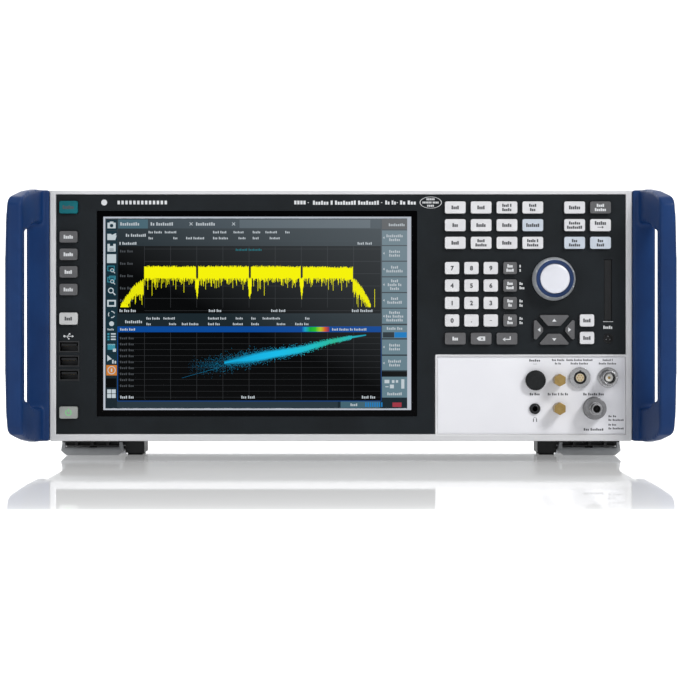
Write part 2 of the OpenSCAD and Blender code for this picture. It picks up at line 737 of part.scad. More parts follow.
module fan_frame() color("#1a1a1b") difference() {
    slab(fan_y, rear_y) polygon(round_rect(fan_size, fan_size, 6, fan[0], fan[1]));
    rod(fan, fan_y + 3, rear_y + 1, fan_size / 2 - 2);
    rod(fan, fan_y + 0.5, fan_y + 4, fan_axle_r + 0.06);
    difference() {
        rod(fan, fan_y - 1, fan_y + 4, fan_size / 2 - 2);
        rod(fan, fan_y - 2, fan_y + 5, 17);
        at(fan) for (a = [45, 135]) rotate([0, a, 0])
            block([-fan_size / 2, fan_y - 2, -2], [fan_size / 2, fan_y + 5, 2]);
    }
}

module fan_rotor() color("#232425") {
    rod(fan, fan_y + 3.4, rear_y - 3, 16);
    rod(fan, fan_y + 0.8, fan_y + 3.4, fan_axle_r);
    at(fan) for (i = [0:6]) rotate([0, i * 360 / 7, 0])
        translate([0, fan_y + 13, 28]) rotate([0, 0, 38])
            cube([22, 1.6, 28], center = true);
}

// Three pin appliance inlet: a shroud with a rounded recess and three blades
module mains_inlet() color("#151617") {
    difference() {
        union() {
            block([inlet[0] - 15.5, case_d, inlet[1] - 11.8],
                [inlet[0] + 15.5, case_d + 2, inlet[1] + 11.8]);
            block([inlet[0] - inlet_w / 2 + 0.1, rear_y - 18, inlet[1] - inlet_h / 2 + 0.1],
                [inlet[0] + inlet_w / 2 - 0.1, case_d, inlet[1] + inlet_h / 2 - 0.1]);
        }
        block([inlet[0] - 12, rear_y - 15, inlet[1] - 8.2],
            [inlet[0] + 12, case_d + 3, inlet[1] + 8.2]);
    }
    for (p = [[-7, -2], [7, -2], [0, 2]])
        block([inlet[0] + p[0] - 1, rear_y - 15.5, inlet[1] + p[1] - 2],
            [inlet[0] + p[0] + 1, case_d - 5, inlet[1] + p[1] + 2]);
    // frame and body of the switch over it
    difference() {
        block([rocker[0] - 13, case_d, rocker[1] - 9],
            [rocker[0] + 13, case_d + 1.4, rocker[1] + 9]);
        block([rocker[0] - 10.2, case_d - 1, rocker[1] - 6.2],
            [rocker[0] + 10.2, case_d + 2, rocker[1] + 6.2]);
    }
    difference() {
        block([rocker[0] - 11.1, rear_y - 14, rocker[1] - 7.1],
            [rocker[0] + 11.1, case_d, rocker[1] + 7.1]);
        block([rocker[0] - 10.2, rear_y - 11, rocker[1] - 6.2],
            [rocker[0] + 10.2, case_d + 1, rocker[1] + 6.2]);
        translate([rocker[0], rocker_y, rocker[1]])
            cylinder(h = 16, r = trunnion_r + 0.06, center = true);
    }
}

rocker_y = case_d - 5;  // the rocker's pivot
rocker_lean = 8;
trunnion_r = 1.2;

// A rocker that rests with one end pressed in
module mains_rocker() color("#101112")
    translate([rocker[0], rocker_y, rocker[1]]) rotate([0, 0, rocker_lean])
    {
        difference() {
            translate([-9, -3, -5.7]) cube([18, 10, 11.4]);
            translate([0, 19.4, 0]) cylinder(h = 20, r = 14, center = true);
        }
        cylinder(h = 14, r = trunnion_r, center = true);
    }

// Network and USB sockets in shells, and three bayonet sockets
module rear_sockets() color("silver") {
    difference() {
        block([lan[0] - 8, rear_y - 16, lan[1] - 7], [lan[0] + 8, case_d + 0.6, lan[1] + 7]);
        block([lan[0] - 6, rear_y - 12, lan[1] - 4.5], [lan[0] + 6, case_d + 1, lan[1] + 4]);
    }
    difference() {
        block([rear_usb[0] - 7.3, rear_y - 14, rear_usb[1] - 8],
            [rear_usb[0] + 7.3, case_d + 0.6, rear_usb[1] + 8]);
        for (z = [-3.8, 3.8])
            block([rear_usb[0] - 6.4, rear_y - 11, rear_usb[1] + z - 3],
                [rear_usb[0] + 6.4, case_d + 1, rear_usb[1] + z + 3]);
    }
    for (z = [-3.8, 3.8])
        block([rear_usb[0] - 5.5, rear_y - 11.5, rear_usb[1] + z + 0.3],
            [rear_usb[0] + 5.5, case_d - 1.5, rear_usb[1] + z + 2.1]);
    for (x = bnc_x) {
        difference() {
            union() {
                rod([x, bnc_z], rear_y - 8, case_d + 11, 4.85);
                rod([x, bnc_z], case_d, case_d + 1.6, 7);
            }
            rod([x, bnc_z], case_d - 2, case_d + 12, 4.1);
        }
        rod([x, bnc_z], case_d - 2.5, case_d + 7, 2.6);
        for (s = [-1, 1]) translate([x + s * 4.5, case_d + 8, bnc_z])
            rotate([0, 90 * s, 0]) cylinder(h = 1.4, r = 1);
    }
}

// Knobs ---------------------------------------------------------------------

// Disc that the shaft pushes against the switch
module shaft_collar() color("goldenrod") rod(knob, 15.6, 17, 4);

module knob_shaft() color("silver") rod(knob, -9, 15.5, shaft_r);

module main_knob() color("#c9ccd1") difference() {
    union() {
        rod(knob, -1.6, -0.8, knob_r);
        rod(knob, -knob_h, -1.6, knob_front_r, knob_r);
    }
    rod(knob, -9, 0, shaft_r);
    difference() {
        rod(knob, -9, 0, 11);
        rod(knob, -10, 1, 5);
    }
    // shallow dish in the face
    rod(knob, -knob_h - 1, -knob_h + 0.4, 11);
}

module volume_knob() color("#1b1c1e") {
    rod(volume, -5.6, 0.2, volume_r);
    rod(volume, 0.2, 11.5, 1.5);
}

// Keys ----------------------------------------------------------------------

module keys(list) for (k = list) key(k);

module preset_key() color("teal") key(preset);
module setup_key() color("#4a4b4d") key(setup);
module print_key() color("#4a4b4d") key(print);
module file_key() color("#4a4b4d") key(file);
module tools_key() color("#4a4b4d") key(tools);
module mode_key() color("#d5d5d3") key(mode);
module power_key() color("#9a9b99") key(power);
module up_key() color("#55565a") cursor_key(cursor_outlines[0]);
module down_key() color("#55565a") cursor_key(cursor_outlines[1]);
module left_key() color("#55565a") cursor_key(cursor_outlines[2]);
module right_key() color("#55565a") cursor_key(cursor_outlines[3]);
module undo_key() color("#ececea") key(undo_keys[0]);
module redo_key() color("#ececea") key(undo_keys[1]);
module function_keys_1() color("#ececea") keys(wide_row(0));
module function_keys_2() color("#ececea") keys(wide_row(1));
module function_keys_3() color("#ececea") keys(wide_row(2));
module number_keys_1() color("#ececea") keys(number_row_keys(0));
module number_keys_2() color("#ececea") keys(number_row_keys(1));
module number_keys_3() color("#ececea") keys(number_row_keys(2));
module number_keys_4() color("#ececea") keys(concat(number_row_keys(3), edit_keys));

place() front_bezel();
place() front_panel();
place() connector_panel();
place() touch_glass();
place() lcd_module();
place() key_mat();
place() circuit_boards();
place() slot_cover();
place() usb_ports();
place() probe_socket();
place() control_bodies();
place() headphone_jack();
place() mixer_ports();
place() sensor_socket();
place() trigger_socket();
place() rf_input();
place() handle_left();
place() handle_right();
place() top_cover();
place() bottom_cover();
place() rear_panel();
place() chassis();
place() case_screws();
place() rear_feet();
place() front_feet();
place() foot_pads();
place() hinge_pins();
place() power_supply();
place() rf_module();
place() fan_frame();
place() mains_inlet();
place() rear_sockets();
place() tilt_foot_left();
place() tilt_foot_right();
place() fan_rotor();
place() mains_rocker();
place() shaft_collar();
place() knob_shaft();
place() main_knob();
place() volume_knob();
place() preset_key();
place() setup_key();
place() print_key();
place() file_key();
place() tools_key();
place() mode_key();
place() power_key();
place() up_key();
place() down_key();
place() left_key();
place() right_key();
place() undo_key();
place() redo_key();
place() function_keys_1();
place() function_keys_2();
place() function_keys_3();
place() number_keys_1();
place() number_keys_2();
place() number_keys_3();
place() number_keys_4();
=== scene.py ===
"""Looks of the bench spectrum analyzer, built around its CAD frame.

Places are in millimetres from the middle of the dark panel's face: x to the right,
y into the case, z up. at() turns them into the frame's metres.
"""
import json
import math
import random

import bmesh
import bpy
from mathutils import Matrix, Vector

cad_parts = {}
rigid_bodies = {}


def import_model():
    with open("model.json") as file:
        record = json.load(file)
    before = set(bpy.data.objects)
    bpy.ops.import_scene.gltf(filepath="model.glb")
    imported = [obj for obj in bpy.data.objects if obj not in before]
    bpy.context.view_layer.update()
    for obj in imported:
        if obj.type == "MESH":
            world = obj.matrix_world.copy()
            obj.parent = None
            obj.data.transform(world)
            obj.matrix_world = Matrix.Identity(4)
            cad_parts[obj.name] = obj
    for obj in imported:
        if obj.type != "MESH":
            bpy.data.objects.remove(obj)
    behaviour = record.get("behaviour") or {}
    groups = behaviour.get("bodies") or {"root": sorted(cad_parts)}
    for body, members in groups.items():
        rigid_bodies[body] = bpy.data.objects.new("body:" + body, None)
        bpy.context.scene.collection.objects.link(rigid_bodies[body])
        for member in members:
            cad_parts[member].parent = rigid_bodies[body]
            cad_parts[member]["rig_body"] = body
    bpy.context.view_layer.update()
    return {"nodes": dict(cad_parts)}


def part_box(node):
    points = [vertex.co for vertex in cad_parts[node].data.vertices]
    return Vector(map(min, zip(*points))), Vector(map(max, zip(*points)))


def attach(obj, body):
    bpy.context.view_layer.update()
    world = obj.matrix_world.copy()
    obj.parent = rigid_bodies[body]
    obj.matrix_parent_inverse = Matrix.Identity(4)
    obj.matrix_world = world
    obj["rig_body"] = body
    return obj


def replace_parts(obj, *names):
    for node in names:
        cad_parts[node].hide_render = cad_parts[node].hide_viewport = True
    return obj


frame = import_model()

# Front frame ------------------------------------------------------------------
# One aluminium casting that carries the panels, with a strip round the connector field.
# It is sprayed with satin silver lacquer, so it shows soft light and a fine metallic grain.

face_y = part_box("front_panel")[0].y
frame_low, frame_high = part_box("front_bezel")
middle_z = (frame_low.z + frame_high.z) / 2


def at(x, y, z):
    """A point in the frame's metres."""
    return Vector((x / 1000, face_y + y / 1000, middle_z + z / 1000))


def srgb(code):
    """The linear colour of an sRGB hex value."""
    parts = [int(code[i:i + 2], 16) / 255 for i in (0, 2, 4)]
    return [*(p / 12.92 if p <= 0.04045 else ((p + 0.055) / 1.055) ** 2.4 for p in parts), 1]


def add_node(tree, kind, settings=(), links=()):
    """Adds a node, gives it its settings and links its inputs to other nodes' outputs."""
    node = tree.nodes.new("ShaderNode" + kind)
    for name, value in dict(settings).items():
        if hasattr(node, str(name)):
            setattr(node, name, value)
        else:
            node.inputs[name].default_value = value
    for name, output in dict(links).items():
        tree.links.new(output, node.inputs[name])
    return node


def finish(name, low, high, rough, drift=14, grain=0.6, depth=0.01, stretch=(1, 1, 1), **sockets):
    """A surface whose colour drifts between two close shades over drift mm.

    Its grain is grain mm wide and depth mm high, drawn out by stretch where it is brushed.
    """
    made = bpy.data.materials.new(name)
    made.use_nodes = True
    tree = made.node_tree
    shader = tree.nodes["Principled BSDF"]
    place = add_node(tree, "TexCoord").outputs["Object"]
    cloud = add_node(tree, "TexNoise", {"Scale": 1000 / drift, "Detail": 3}, {"Vector": place})
    tint = add_node(tree, "ValToRGB", {}, {"Fac": cloud.outputs["Fac"]})
    tint.color_ramp.elements[0].position = 0.3
    tint.color_ramp.elements[1].position = 0.7
    tint.color_ramp.elements[0].color = srgb(low)
    tint.color_ramp.elements[1].color = srgb(high)
    drawn = add_node(tree, "Mapping", {}, {"Vector": place})
    drawn.inputs["Scale"].default_value = [1 / s for s in stretch]
    fine = add_node(tree, "TexNoise", {"Scale": 1000 / grain, "Detail": 2},
                    {"Vector": drawn.outputs["Vector"]})
    gloss = add_node(tree, "MapRange", {"To Min": rough * 0.85, "To Max": rough * 1.15},
                     {"Value": fine.outputs["Fac"]})
    bump = add_node(tree, "Bump", {"Strength": 0.6, "Distance": depth / 1000},
                    {"Height": fine.outputs["Fac"]})
    tree.links.new(tint.outputs["Color"], shader.inputs["Base Color"])
    tree.links.new(gloss.outputs["Result"], shader.inputs["Roughness"])
    tree.links.new(bump.outputs["Normal"], shader.inputs["Normal"])
    for socket, value in sockets.items():
        shader.inputs[socket.replace("_", " ")].default_value = value
    return made


def solid(node):
    """A CAD node's shape, with its seams joined and its flat faces whole."""
    source = frame["nodes"][node].data
    mesh = bmesh.new()
    corners = [mesh.verts.new(v.co) for v in source.vertices]
    for face in source.polygons:
        mesh.faces.new([corners[i] for i in face.vertices])
    bmesh.ops.remove_doubles(mesh, verts=mesh.verts, dist=2e-6)
    bmesh.ops.dissolve_limit(mesh, angle_limit=math.radians(0.4), verts=mesh.verts[:],
                             edges=mesh.edges[:])
    bmesh.ops.recalc_face_normals(mesh, faces=mesh.faces)
    return mesh


def soften(mesh, width, segments, edges=None):
    """Rounds the outer edges of a shape, width mm to each side."""
    chosen = edges or [e for e in mesh.edges if len(e.link_faces) == 2 and e.is_convex
                       and e.calc_face_angle() > math.radians(35)]
    bmesh.ops.bevel(mesh, geom=chosen, offset=width / 1000, offset_type="OFFSET",
                    segments=segments, profile=0.5, affect="EDGES", clamp_overlap=True)
    return mesh


def piece(name, body, material, mesh, sharp=35):
    """Makes an object of a shape, which moves with a CAD body."""
    bmesh.ops.recalc_face_normals(mesh, faces=mesh.faces)
    data = bpy.data.meshes.new(name)
    mesh.to_mesh(data)
    mesh.free()
    data.shade_smooth()
    data.set_sharp_from_angle(angle=math.radians(sharp))
    data.materials.append(material)
    made = bpy.data.objects.new(name, data)
    bpy.context.scene.collection.objects.link(made)
    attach(made, body)
    return made


def body_of(node):
    """The name of the body that a CAD node moves with."""
    return frame["nodes"][node]["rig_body"]


def refine(node, material, width, segments=2):
    """Shows a CAD node with its outer edges rounded and its flat faces evenly shaded."""
    mesh = soften(solid(node), width, segments)
    made = piece(node + "_body", body_of(node), material, mesh)
    made.modifiers.new("even_shading", "WEIGHTED_NORMAL").keep_sharp = True
    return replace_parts(made, node)


# Satin silver lacquer over cast aluminium: a pale, even coat with fine flakes in it
silver_lacquer = finish("satin_silver_lacquer", "cbcbcd", "d3d3d5", 0.42, drift=40, grain=0.35,
                        depth=0.004, Metallic=0.25, Coat_Weight=0.2, Coat_Roughness=0.3)
refine("front_bezel", silver_lacquer, 0.9, 3)


# Dark front panel -------------------------------------------------------------
# A moulded plate behind the frame, cut out for the screen, the keys, the knob and the slot.
# It has a matt graphite coat with a fine texture, and white print.

# Textured graphite lacquer: matt, with a grain that is drawn 0.8 mm wide so that it shows
graphite = finish("textured_graphite_lacquer", "121619", "181d21", 0.5, drift=30, grain=0.8,
                  depth=0.02, Specular_IOR_Level=0.15)
refine("front_panel", graphite, 0.2, 1)

print_t = 0.03          # print stands this far out of the face


def loft(mesh, loops, closed=False):
    """Joins loops of points one after another, and closes the ends unless they meet."""
    rings = [[mesh.verts.new(p) for p in loop] for loop in loops]
    pairs = zip(rings, rings[1:] + rings[:1]) if closed else zip(rings, rings[1:])
    for a, b in pairs:
        for i in range(len(a)):
            j = (i + 1) % len(a)
            mesh.faces.new((a[i], a[j], b[j], b[i]))
    if not closed:
        mesh.faces.new(rings[0][::-1])
        mesh.faces.new(rings[-1])
    return mesh


def plate(mesh, outline, y0, y1):
    """A flat shape in x and z between two depths."""
    return loft(mesh, [[at(x, y, z) for x, z in outline] for y in (y0, y1)])


def bar(mesh, x0, x1, z0, z1, y, thick=print_t):
    """A flat bar that stands out from depth y."""
    return plate(mesh, [(x0, z0), (x1, z0), (x1, z1), (x0, z1)], y - thick, y)


def disc(mesh, x, z, r, y, thick=print_t):
    """A flat disc that stands out from depth y."""
    turns = [2 * math.pi * i / 24 for i in range(24)]
    return plate(mesh, [(x + r * math.cos(a), z + r * math.sin(a)) for a in turns], y - thick, y)


def ring(mesh, x, z, r, width, y, start=0, sweep=360, steps=32):
    """A flat ring, or an arc of one, r mm to the middle of its line."""
    turns = [math.radians(start + sweep * i / steps) for i in range(steps + 1)]
    loops = [[at(x + s * math.cos(a), y - t, z + s * math.sin(a))
              for s, t in ((r - width / 2, 0), (r + width / 2, 0),
                           (r + width / 2, print_t), (r - width / 2, print_t))]
             for a in turns]
    return loft(mesh, loops[:-1] if sweep == 360 else loops, closed=sweep == 360)


# how tall the blocks of a word stand in turn, as shares of the line's height
word_heights = (1, 0.72, 0.72, 0.95, 0.72, 0.72, 0.9)


def words(mesh, x, z, y, letters, size, width=None, align=0.5, caps=False, dash=0.72):
    """A line of small blocks in place of words: letters says how many are in each word."""
    units = sum(letters) + 0.6 * (len(letters) - 1)
    pitch = width / units if width else 0.66 * size
    left = x - align * units * pitch
    for count in letters:
        for i in range(count):
            tall = 1 if caps else word_heights[i % len(word_heights)]
            bar(mesh, left, left + dash * pitch, z - size / 2, z + (tall - 0.5) * size, y)
            left += pitch
        left += 0.6 * pitch
    return mesh


# Screen print: matt white ink, slightly warm
white_ink = finish("white_screen_print", "c4c6c8", "d2d4d6", 0.6, grain=0.4, depth=0.004)
header = bmesh.new()
header_z = 79.8
disc(header, -167, header_z, 2.1, 0)
words(header, -157.6, header_z, 0, [13], 2.6, width=36, align=0, caps=True, dash=0.6)
words(header, -32.9, header_z, 0, [4], 2.6, width=8.6, align=0, caps=True)
words(header, -19.7, 79.7, 0, [6, 1, 8, 8], 2.9, width=47, align=0)
words(header, 31.3, header_z, 0, [2, 2], 2.8, width=8, align=0)
words(header, 41.8, header_z, 0, [2, 3], 2.8, width=11.6, align=0)
for dash_x in (-22.8, 29, 40):
    bar(header, dash_x - 0.6, dash_x + 0.2, 79.5, 80, 0)
badge_x = 63.4          # an oval mark with three lines of small print
for k in range(32):
    a, b = (math.radians(11.25 * (k + step)) for step in (0, 1))
    plate(header, [(badge_x + s * 7.8 * math.cos(t), header_z + s * 4.1 * math.sin(t))
                   for s, t in ((1, a), (1, b), (0.94, b), (0.94, a))], -print_t, 0)
for z, letters, width in ((82.1, [5], 6), (header_z, [6, 4], 11.6), (77.5, [4], 5)):
    words(header, badge_x, z, 0, letters, 1.3, width=width, caps=True)
piece("header_print", "root", white_ink, header)

# A second line of units stands beside each key of the right-hand number column
labels = bmesh.new()
for row, (upper, lower) in enumerate(((1, 1), (2, 3), (2, 2), (2, 2))):
    line_z = 33.5 - 12.3 * row
    words(labels, 126, line_z + 1.4, 0, [upper], 1.9, align=0)
    words(labels, 126, line_z - 1.6, 0, [lower], 1.9, align=0)
# a short line over the probe socket's name
bar(labels, 185, 192, -4.4, -4.1, 0)
words(labels, 188.5, -8.2, 0, [5], 2.3, width=6.6)
# a plug sign over the ports on the left: a stem with two branches
stem_z = -14.6
bar(labels, -195, -189.6, stem_z - 0.2, stem_z + 0.2, 0)
disc(labels, -195, stem_z, 0.8, 0)
plate(labels, [(-189.8, stem_z + 0.8), (-188.4, stem_z), (-189.8, stem_z - 0.8)], -print_t, 0)
for turn, tip in ((1, -191.4), (-1, -192)):
    plate(labels, [(tip - 1.8, stem_z), (tip - 1.3, stem_z), (tip, stem_z + 1.6 * turn),
                   (tip - 0.5, stem_z + 1.6 * turn)][::turn], -print_t, 0)
    disc(labels, tip, stem_z + 1.7 * turn, 0.55, 0)
piece("panel_print", "root", white_ink, labels)


# Connector panel --------------------------------------------------------------
# A light plate let into the silver strip at the lower right, which the front sockets are
# screwed through. It is powder coated white and printed in dark grey.

# White powder coat: a faint orange peel about 1 mm wide
powder_coat = finish("white_powder_coat", "dbdbe0", "e1e1e5", 0.45, drift=60, grain=1.1,
                     depth=0.008, Specular_IOR_Level=0.4)
refine("connector_panel", powder_coat, 0.2, 1)


def front_of(node):
    """The depth of a CAD node's foremost point, in millimetres."""
    return (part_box(node)[0].y - face_y) * 1000


field_y = front_of("connector_panel")

# Dark screen print, thin enough that the coat's texture comes through
dark_ink = finish("dark_screen_print", "3a3c40", "45474b", 0.6, grain=0.4, depth=0.004)
field = bmesh.new()
for x0, x1, z, size, letters in (
        (133, 140.9, -31.6, 1.7, [6]), (149, 157.9, -31.3, 1.5, [3, 5]),
        (151.1, 155.5, -33.8, 1.4, [2, 2]), (159.2, 177.8, -31.3, 1.5, [5, 6, 7]),
        (162.2, 174.6, -33.8, 1.4, [5, 6]), (184.8, 192.1, -31.3, 1.5, [7, 1]),
        (182.1, 194.5, -33.8, 1.4, [5, 6]), (133.3, 140.6, -55.4, 1.8, [2, 3]),
        (146, 160.5, -55.4, 1.8, [2, 3, 1, 2, 2]), (171.1, 185.9, -55.4, 1.8, [2, 5, 3]),
        (171.4, 185.6, -80.3, 1.8, [3, 7]), (188.9, 194.5, -71, 1.4, [2, 2]),
        (188.9, 199.8, -73.6, 1.4, [2, 7]), (188.9, 194.5, -77, 1.4, [2, 3]),
        (188.9, 199.8, -79.6, 1.4, [2, 7])):
    words(field, x0, z, field_y, letters, size, width=x1 - x0, align=0)
# a small headphone sign: a band and two cups
ring(field, 137, -72.9, 1.1, 0.25, field_y, 0, 180)
for cup_x in (135.9, 138.1):
    bar(field, cup_x - 0.3, cup_x + 0.3, -75, -72.9, field_y)
# a short line under the first socket's name
bar(field, 135.6, 138.4, -34.3, -34.1, field_y)
piece("field_print", "root", dark_ink, field)


# Card slot and probe socket ---------------------------------------------------
# A black plastic cover closes the tall slot at the right edge, and under it a small round
# socket with three contacts takes a probe's plug.

# Black ABS, moulded with a fine spark-eroded texture
black_abs = finish("moulded_black_abs", "141516", "1b1c1e", 0.5, drift=10, grain=0.5, depth=0.01,
                   Specular_IOR_Level=0.25)
refine("slot_cover", black_abs, 0.3)
refine("probe_socket", black_abs, 0.2)

# Tinned contact metal, dull and pale
tinned = finish("tinned_contacts", "8d8f92", "a3a5a8", 0.4, grain=0.3, Metallic=1)


def circle(centre, r, y, steps):
    """A loop of points at depth y about [x, z]."""
    turns = [2 * math.pi * i / steps for i in range(steps)]
    return [at(centre[0] + r * math.cos(a), y, centre[1] + r * math.sin(a)) for a in turns]


def turned(mesh, centre, profile, closed=False, steps=48):
    """A round shape about [x, z]: its profile is a list of [radius, depth]."""
    return loft(mesh, [circle(centre, r, y, steps) for r, y in profile], closed)


def middle(node):
    """The middle of a CAD node across the front, in millimetres."""
    low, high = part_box(node)
    return ((low.x + high.x) * 500, ((low.z + high.z) / 2 - middle_z) * 1000)


probe = middle("probe_socket")
probe_pins = bmesh.new()
for angle in (90, 210, 330):
    pin = (probe[0] + 1.5 * math.cos(math.radians(angle)),
           probe[1] + 1.5 * math.sin(math.radians(angle)))
    turned(probe_pins, pin, [(0.36, 5), (0.36, 1.7), (0.25, 1.55)], steps=12)
piece("probe_contacts", "root", tinned, probe_pins)
probe_lip = turned(bmesh.new(), probe, [(3.45, -0.3), (3.3, -0.5), (3.0, -0.5), (2.85, -0.3),
                                        (2.85, 0.4), (3.45, 0.4)], closed=True)
piece("probe_lip", "root", black_abs, probe_lip)


# Touch screen -----------------------------------------------------------------
# A 10 inch panel behind one sheet of glass with a black printed border, held in a rebate.
# It shows a lit window with two traces, a column of small signs and a column of soft keys.

# Float glass with black print behind it: near black and smooth. Its front is coated against
# reflections, so it mirrors far less than bare glass.
float_glass = finish("coated_float_glass", "010102", "030304", 0.08, drift=50, grain=6,
                     depth=0.0005, Specular_IOR_Level=0.03)
refine("touch_glass", float_glass, 0.15)

glass_y = front_of("touch_glass")
screen_x, screen_z = middle("touch_glass")
screen_x -= 107         # from the glass's middle to the picture's top left corner
screen_z += 67.3
layer_t = 0.02          # each layer of the picture stands this far in front of the last
# painted reflection: this grey is mixed into the lit colours towards the upper right
sheen_code = "8a9298"   # the light that the upper right of the glass picks up


def lit(name, code, painted_sheen=0.24):
    """A lit colour under glass, with a painted sheen of reflected light towards the upper right,
    painted_sheen strong.
    """
    made = bpy.data.materials.new(name)
    made.use_nodes = True
    tree = made.node_tree
    shader = tree.nodes["Principled BSDF"]
    shader.inputs["Base Color"].default_value = srgb("000000")
    shader.inputs["Roughness"].default_value = 0.12
    shader.inputs["Specular IOR Level"].default_value = 0.03
    shader.inputs["Emission Strength"].default_value = 1
    place = add_node(tree, "TexCoord").outputs["Object"]
    # the painted sheen, reflected light laid into the colour, grows from the screen's middle to
    # its upper right corner, over 0.2 m
    across = add_node(tree, "VectorMath", {"operation": "DOT_PRODUCT", 1: (0.75, 0, 1.6)},
                      {0: place})
    share = add_node(tree, "MapRange", {"From Min": 0.1, "From Max": 0.31, "To Max": painted_sheen},
                     {"Value": across.outputs["Value"]})
    # the display's rows of dots, drawn 0.35 mm apart so that they show close up
    rows = add_node(tree, "TexWave", {"bands_direction": "Z", "Scale": 1000 / 0.35 / 6.283},
                    {"Vector": place})
    dim = add_node(tree, "MapRange", {"To Min": 0.9, "To Max": 1},
                   {"Value": rows.outputs["Fac"]})
    base = add_node(tree, "RGB")
    base.outputs[0].default_value = srgb(code)
    shade = add_node(tree, "VectorMath", {"operation": "SCALE"},
                     {0: base.outputs[0], "Scale": dim.outputs["Result"]})
    # painted sheen: the colour is mixed towards the reflected grey by position
    mixed = add_node(tree, "Mix", {"data_type": "RGBA", 7: srgb(sheen_code)},
                     {0: share.outputs["Result"], 6: shade.outputs["Vector"]})
    tree.links.new(mixed.outputs[2], shader.inputs["Emission Color"])
    return made


def box_on(mesh, u0, u1, v0, v1, layer):
    """A bar on the picture: u runs right and v down from its corner, in millimetres."""
    y = glass_y - layer * layer_t
    return bar(mesh, screen_x + u0, screen_x + u1, screen_z - v1, screen_z - v0, y, layer_t * 1.2)


def words_on(mesh, u, v, layer, letters, size, width=None, align=0):
    """A line of small blocks on the picture, from u and v."""
    return words(mesh, screen_x + u, screen_z - v, glass_y - layer * layer_t, letters, size,
                 width, align, dash=0.62)


def shape_on(mesh, points, layer):
    """A flat shape on the picture from [u, v] points."""
    y = glass_y - layer * layer_t
    outline = [(screen_x + u, screen_z - v) for u, v in points]
    return plate(mesh, outline, y - layer_t * 1.2, y)


def show(name, material, mesh):
    """Makes one layer of the picture an object of its own."""
    return piece("screen_" + name, "root", material, mesh)


picture_w = 213
picture_h = 134.3
plot_left, plot_right = 9, 194.4
soft_left = 195.2       # the soft keys run from here to the picture's right edge

rim = bmesh.new()
for u0, u1, v0, v1 in ((-1.4, 215.8, -1.1, 0.2), (-1.4, 215.8, 134, 135.3), (-1.4, 0, 0, 134.2),
                       (213, 215.8, 0, 134.2)):
    box_on(rim, u0, u1, v0, v1, 0)
show("rim", lit("lit_rim", "bfc5d0"), rim)

ground = box_on(bmesh.new(), 0, picture_w, 0, picture_h, 0)
show("ground", lit("lit_slate", "1d2a32", painted_sheen=0.42), ground)

tabs = bmesh.new()
box_on(tabs, 9, 30.1, 0.8, 7.2, 1)
box_on(tabs, 166, 194, 129.3, 133.8, 1)
show("tabs", lit("lit_teal", "456673"), tabs)
bars = bmesh.new()
box_on(bars, 94.6, 187, 1, 6.9, 1)
show("tab_bar", lit("lit_steel", "3a4b55", painted_sheen=0.6), bars)
bars = bmesh.new()
for u0, u1 in ((30.6, 61), (62, 94), (187.4, 194)):
    box_on(bars, u0, u1, 0.8, 7, 1)
box_on(bars, 8.2, 164, 129.4, 133.9, 1)
show("bars", lit("lit_dark_slate", "2c3a43", painted_sheen=0.4), bars)
show("menu_head", lit("lit_brown", "4d4947", painted_sheen=0.4),
     box_on(bmesh.new(), soft_left, picture_w, 0.6, 7.8, 1))

titles = bmesh.new()
for v0, v1 in ((16.2, 19.3), (7.4, 16), (67.6, 76)):
    box_on(titles, plot_left, plot_right, v0, v1, 1)
show("titles", lit("lit_header", "1c282e", painted_sheen=0.34), titles)

plots = bmesh.new()
for v0, v1 in ((19.5, 67.2), (80.4, 128.6)):
    box_on(plots, plot_left, plot_right, v0, v1, 1)
box_on(plots, 195, picture_w, 108.2, 111.4, 2)
box_on(plots, 0.4, 7.7, 113, 119.5, 2)
show("plots", lit("lit_black", "060708", painted_sheen=0.2), plots)

grid = bmesh.new()
column_w, upper_row, lower_row = 18.45, 8.7, 4.2        # spaces between the grid's lines
for k in range(9):
    for v0, v1 in ((19.7, 63), (80.6, 127.8)):
        box_on(grid, 27.5 + column_w * k, 27.7 + column_w * k, v0, v1, 2)
for k in range(6):
    box_on(grid, 27.6, 194, 21.6 + upper_row * k, 21.8 + upper_row * k, 2)
for k in range(11):
    box_on(grid, 9.4, 194, 84.2 + lower_row * k, 84.35 + lower_row * k, 2)
show("grid", lit("lit_grid", "3b3d40"), grid)

title_bar = box_on(bmesh.new(), plot_left, plot_right, 76.3, 80.4, 2)
for u0, u1, v0, v1 in ((8.5, 8.9, 76.3, 129.2), (194.5, 194.8, 76.3, 129.2),
                       (8.5, 194.8, 128.8, 129.2)):
    box_on(title_bar, u0, u1, v0, v1, 2)
show("blue_bar", lit("lit_blue", "094a9a", painted_sheen=0.1), title_bar)


def graded(name, left, right, stops):
    """A lit colour that runs through stops of [share, colour] from left to right."""
    made = lit(name, "000000", painted_sheen=0)
    tree = made.node_tree
    where = add_node(tree, "SeparateXYZ", {}, {0: add_node(tree, "TexCoord").outputs["Object"]})
    along = add_node(tree, "MapRange", {"From Min": (screen_x + left) / 1000,
                                        "From Max": (screen_x + right) / 1000},
                     {"Value": where.outputs["X"]})
    turn = add_node(tree, "ValToRGB", {}, {"Fac": along.outputs["Result"]})
    ramp = turn.color_ramp.elements
    for share, code in stops[1:-1]:
        ramp.new(share).color = srgb(code)
    ramp[0].color = srgb(stops[0][1])
    ramp[-1].color = srgb(stops[-1][1])
    tree.links.new(turn.outputs["Color"], tree.nodes["Principled BSDF"].inputs["Emission Color"])
    return made


# the colour key on the blue bar runs from blue over green and yellow to red
show("colour_key", graded("lit_colour_key", 138.7, 158, (
    (0, "0b55a8"), (0.12, "1fa0c8"), (0.3, "12a83c"), (0.5, "2fbf2c"), (0.68, "b8c42a"),
    (0.84, "d85a2a"), (1, "7a2a60"))), box_on(bmesh.new(), 138.7, 158, 76.7, 80, 3))

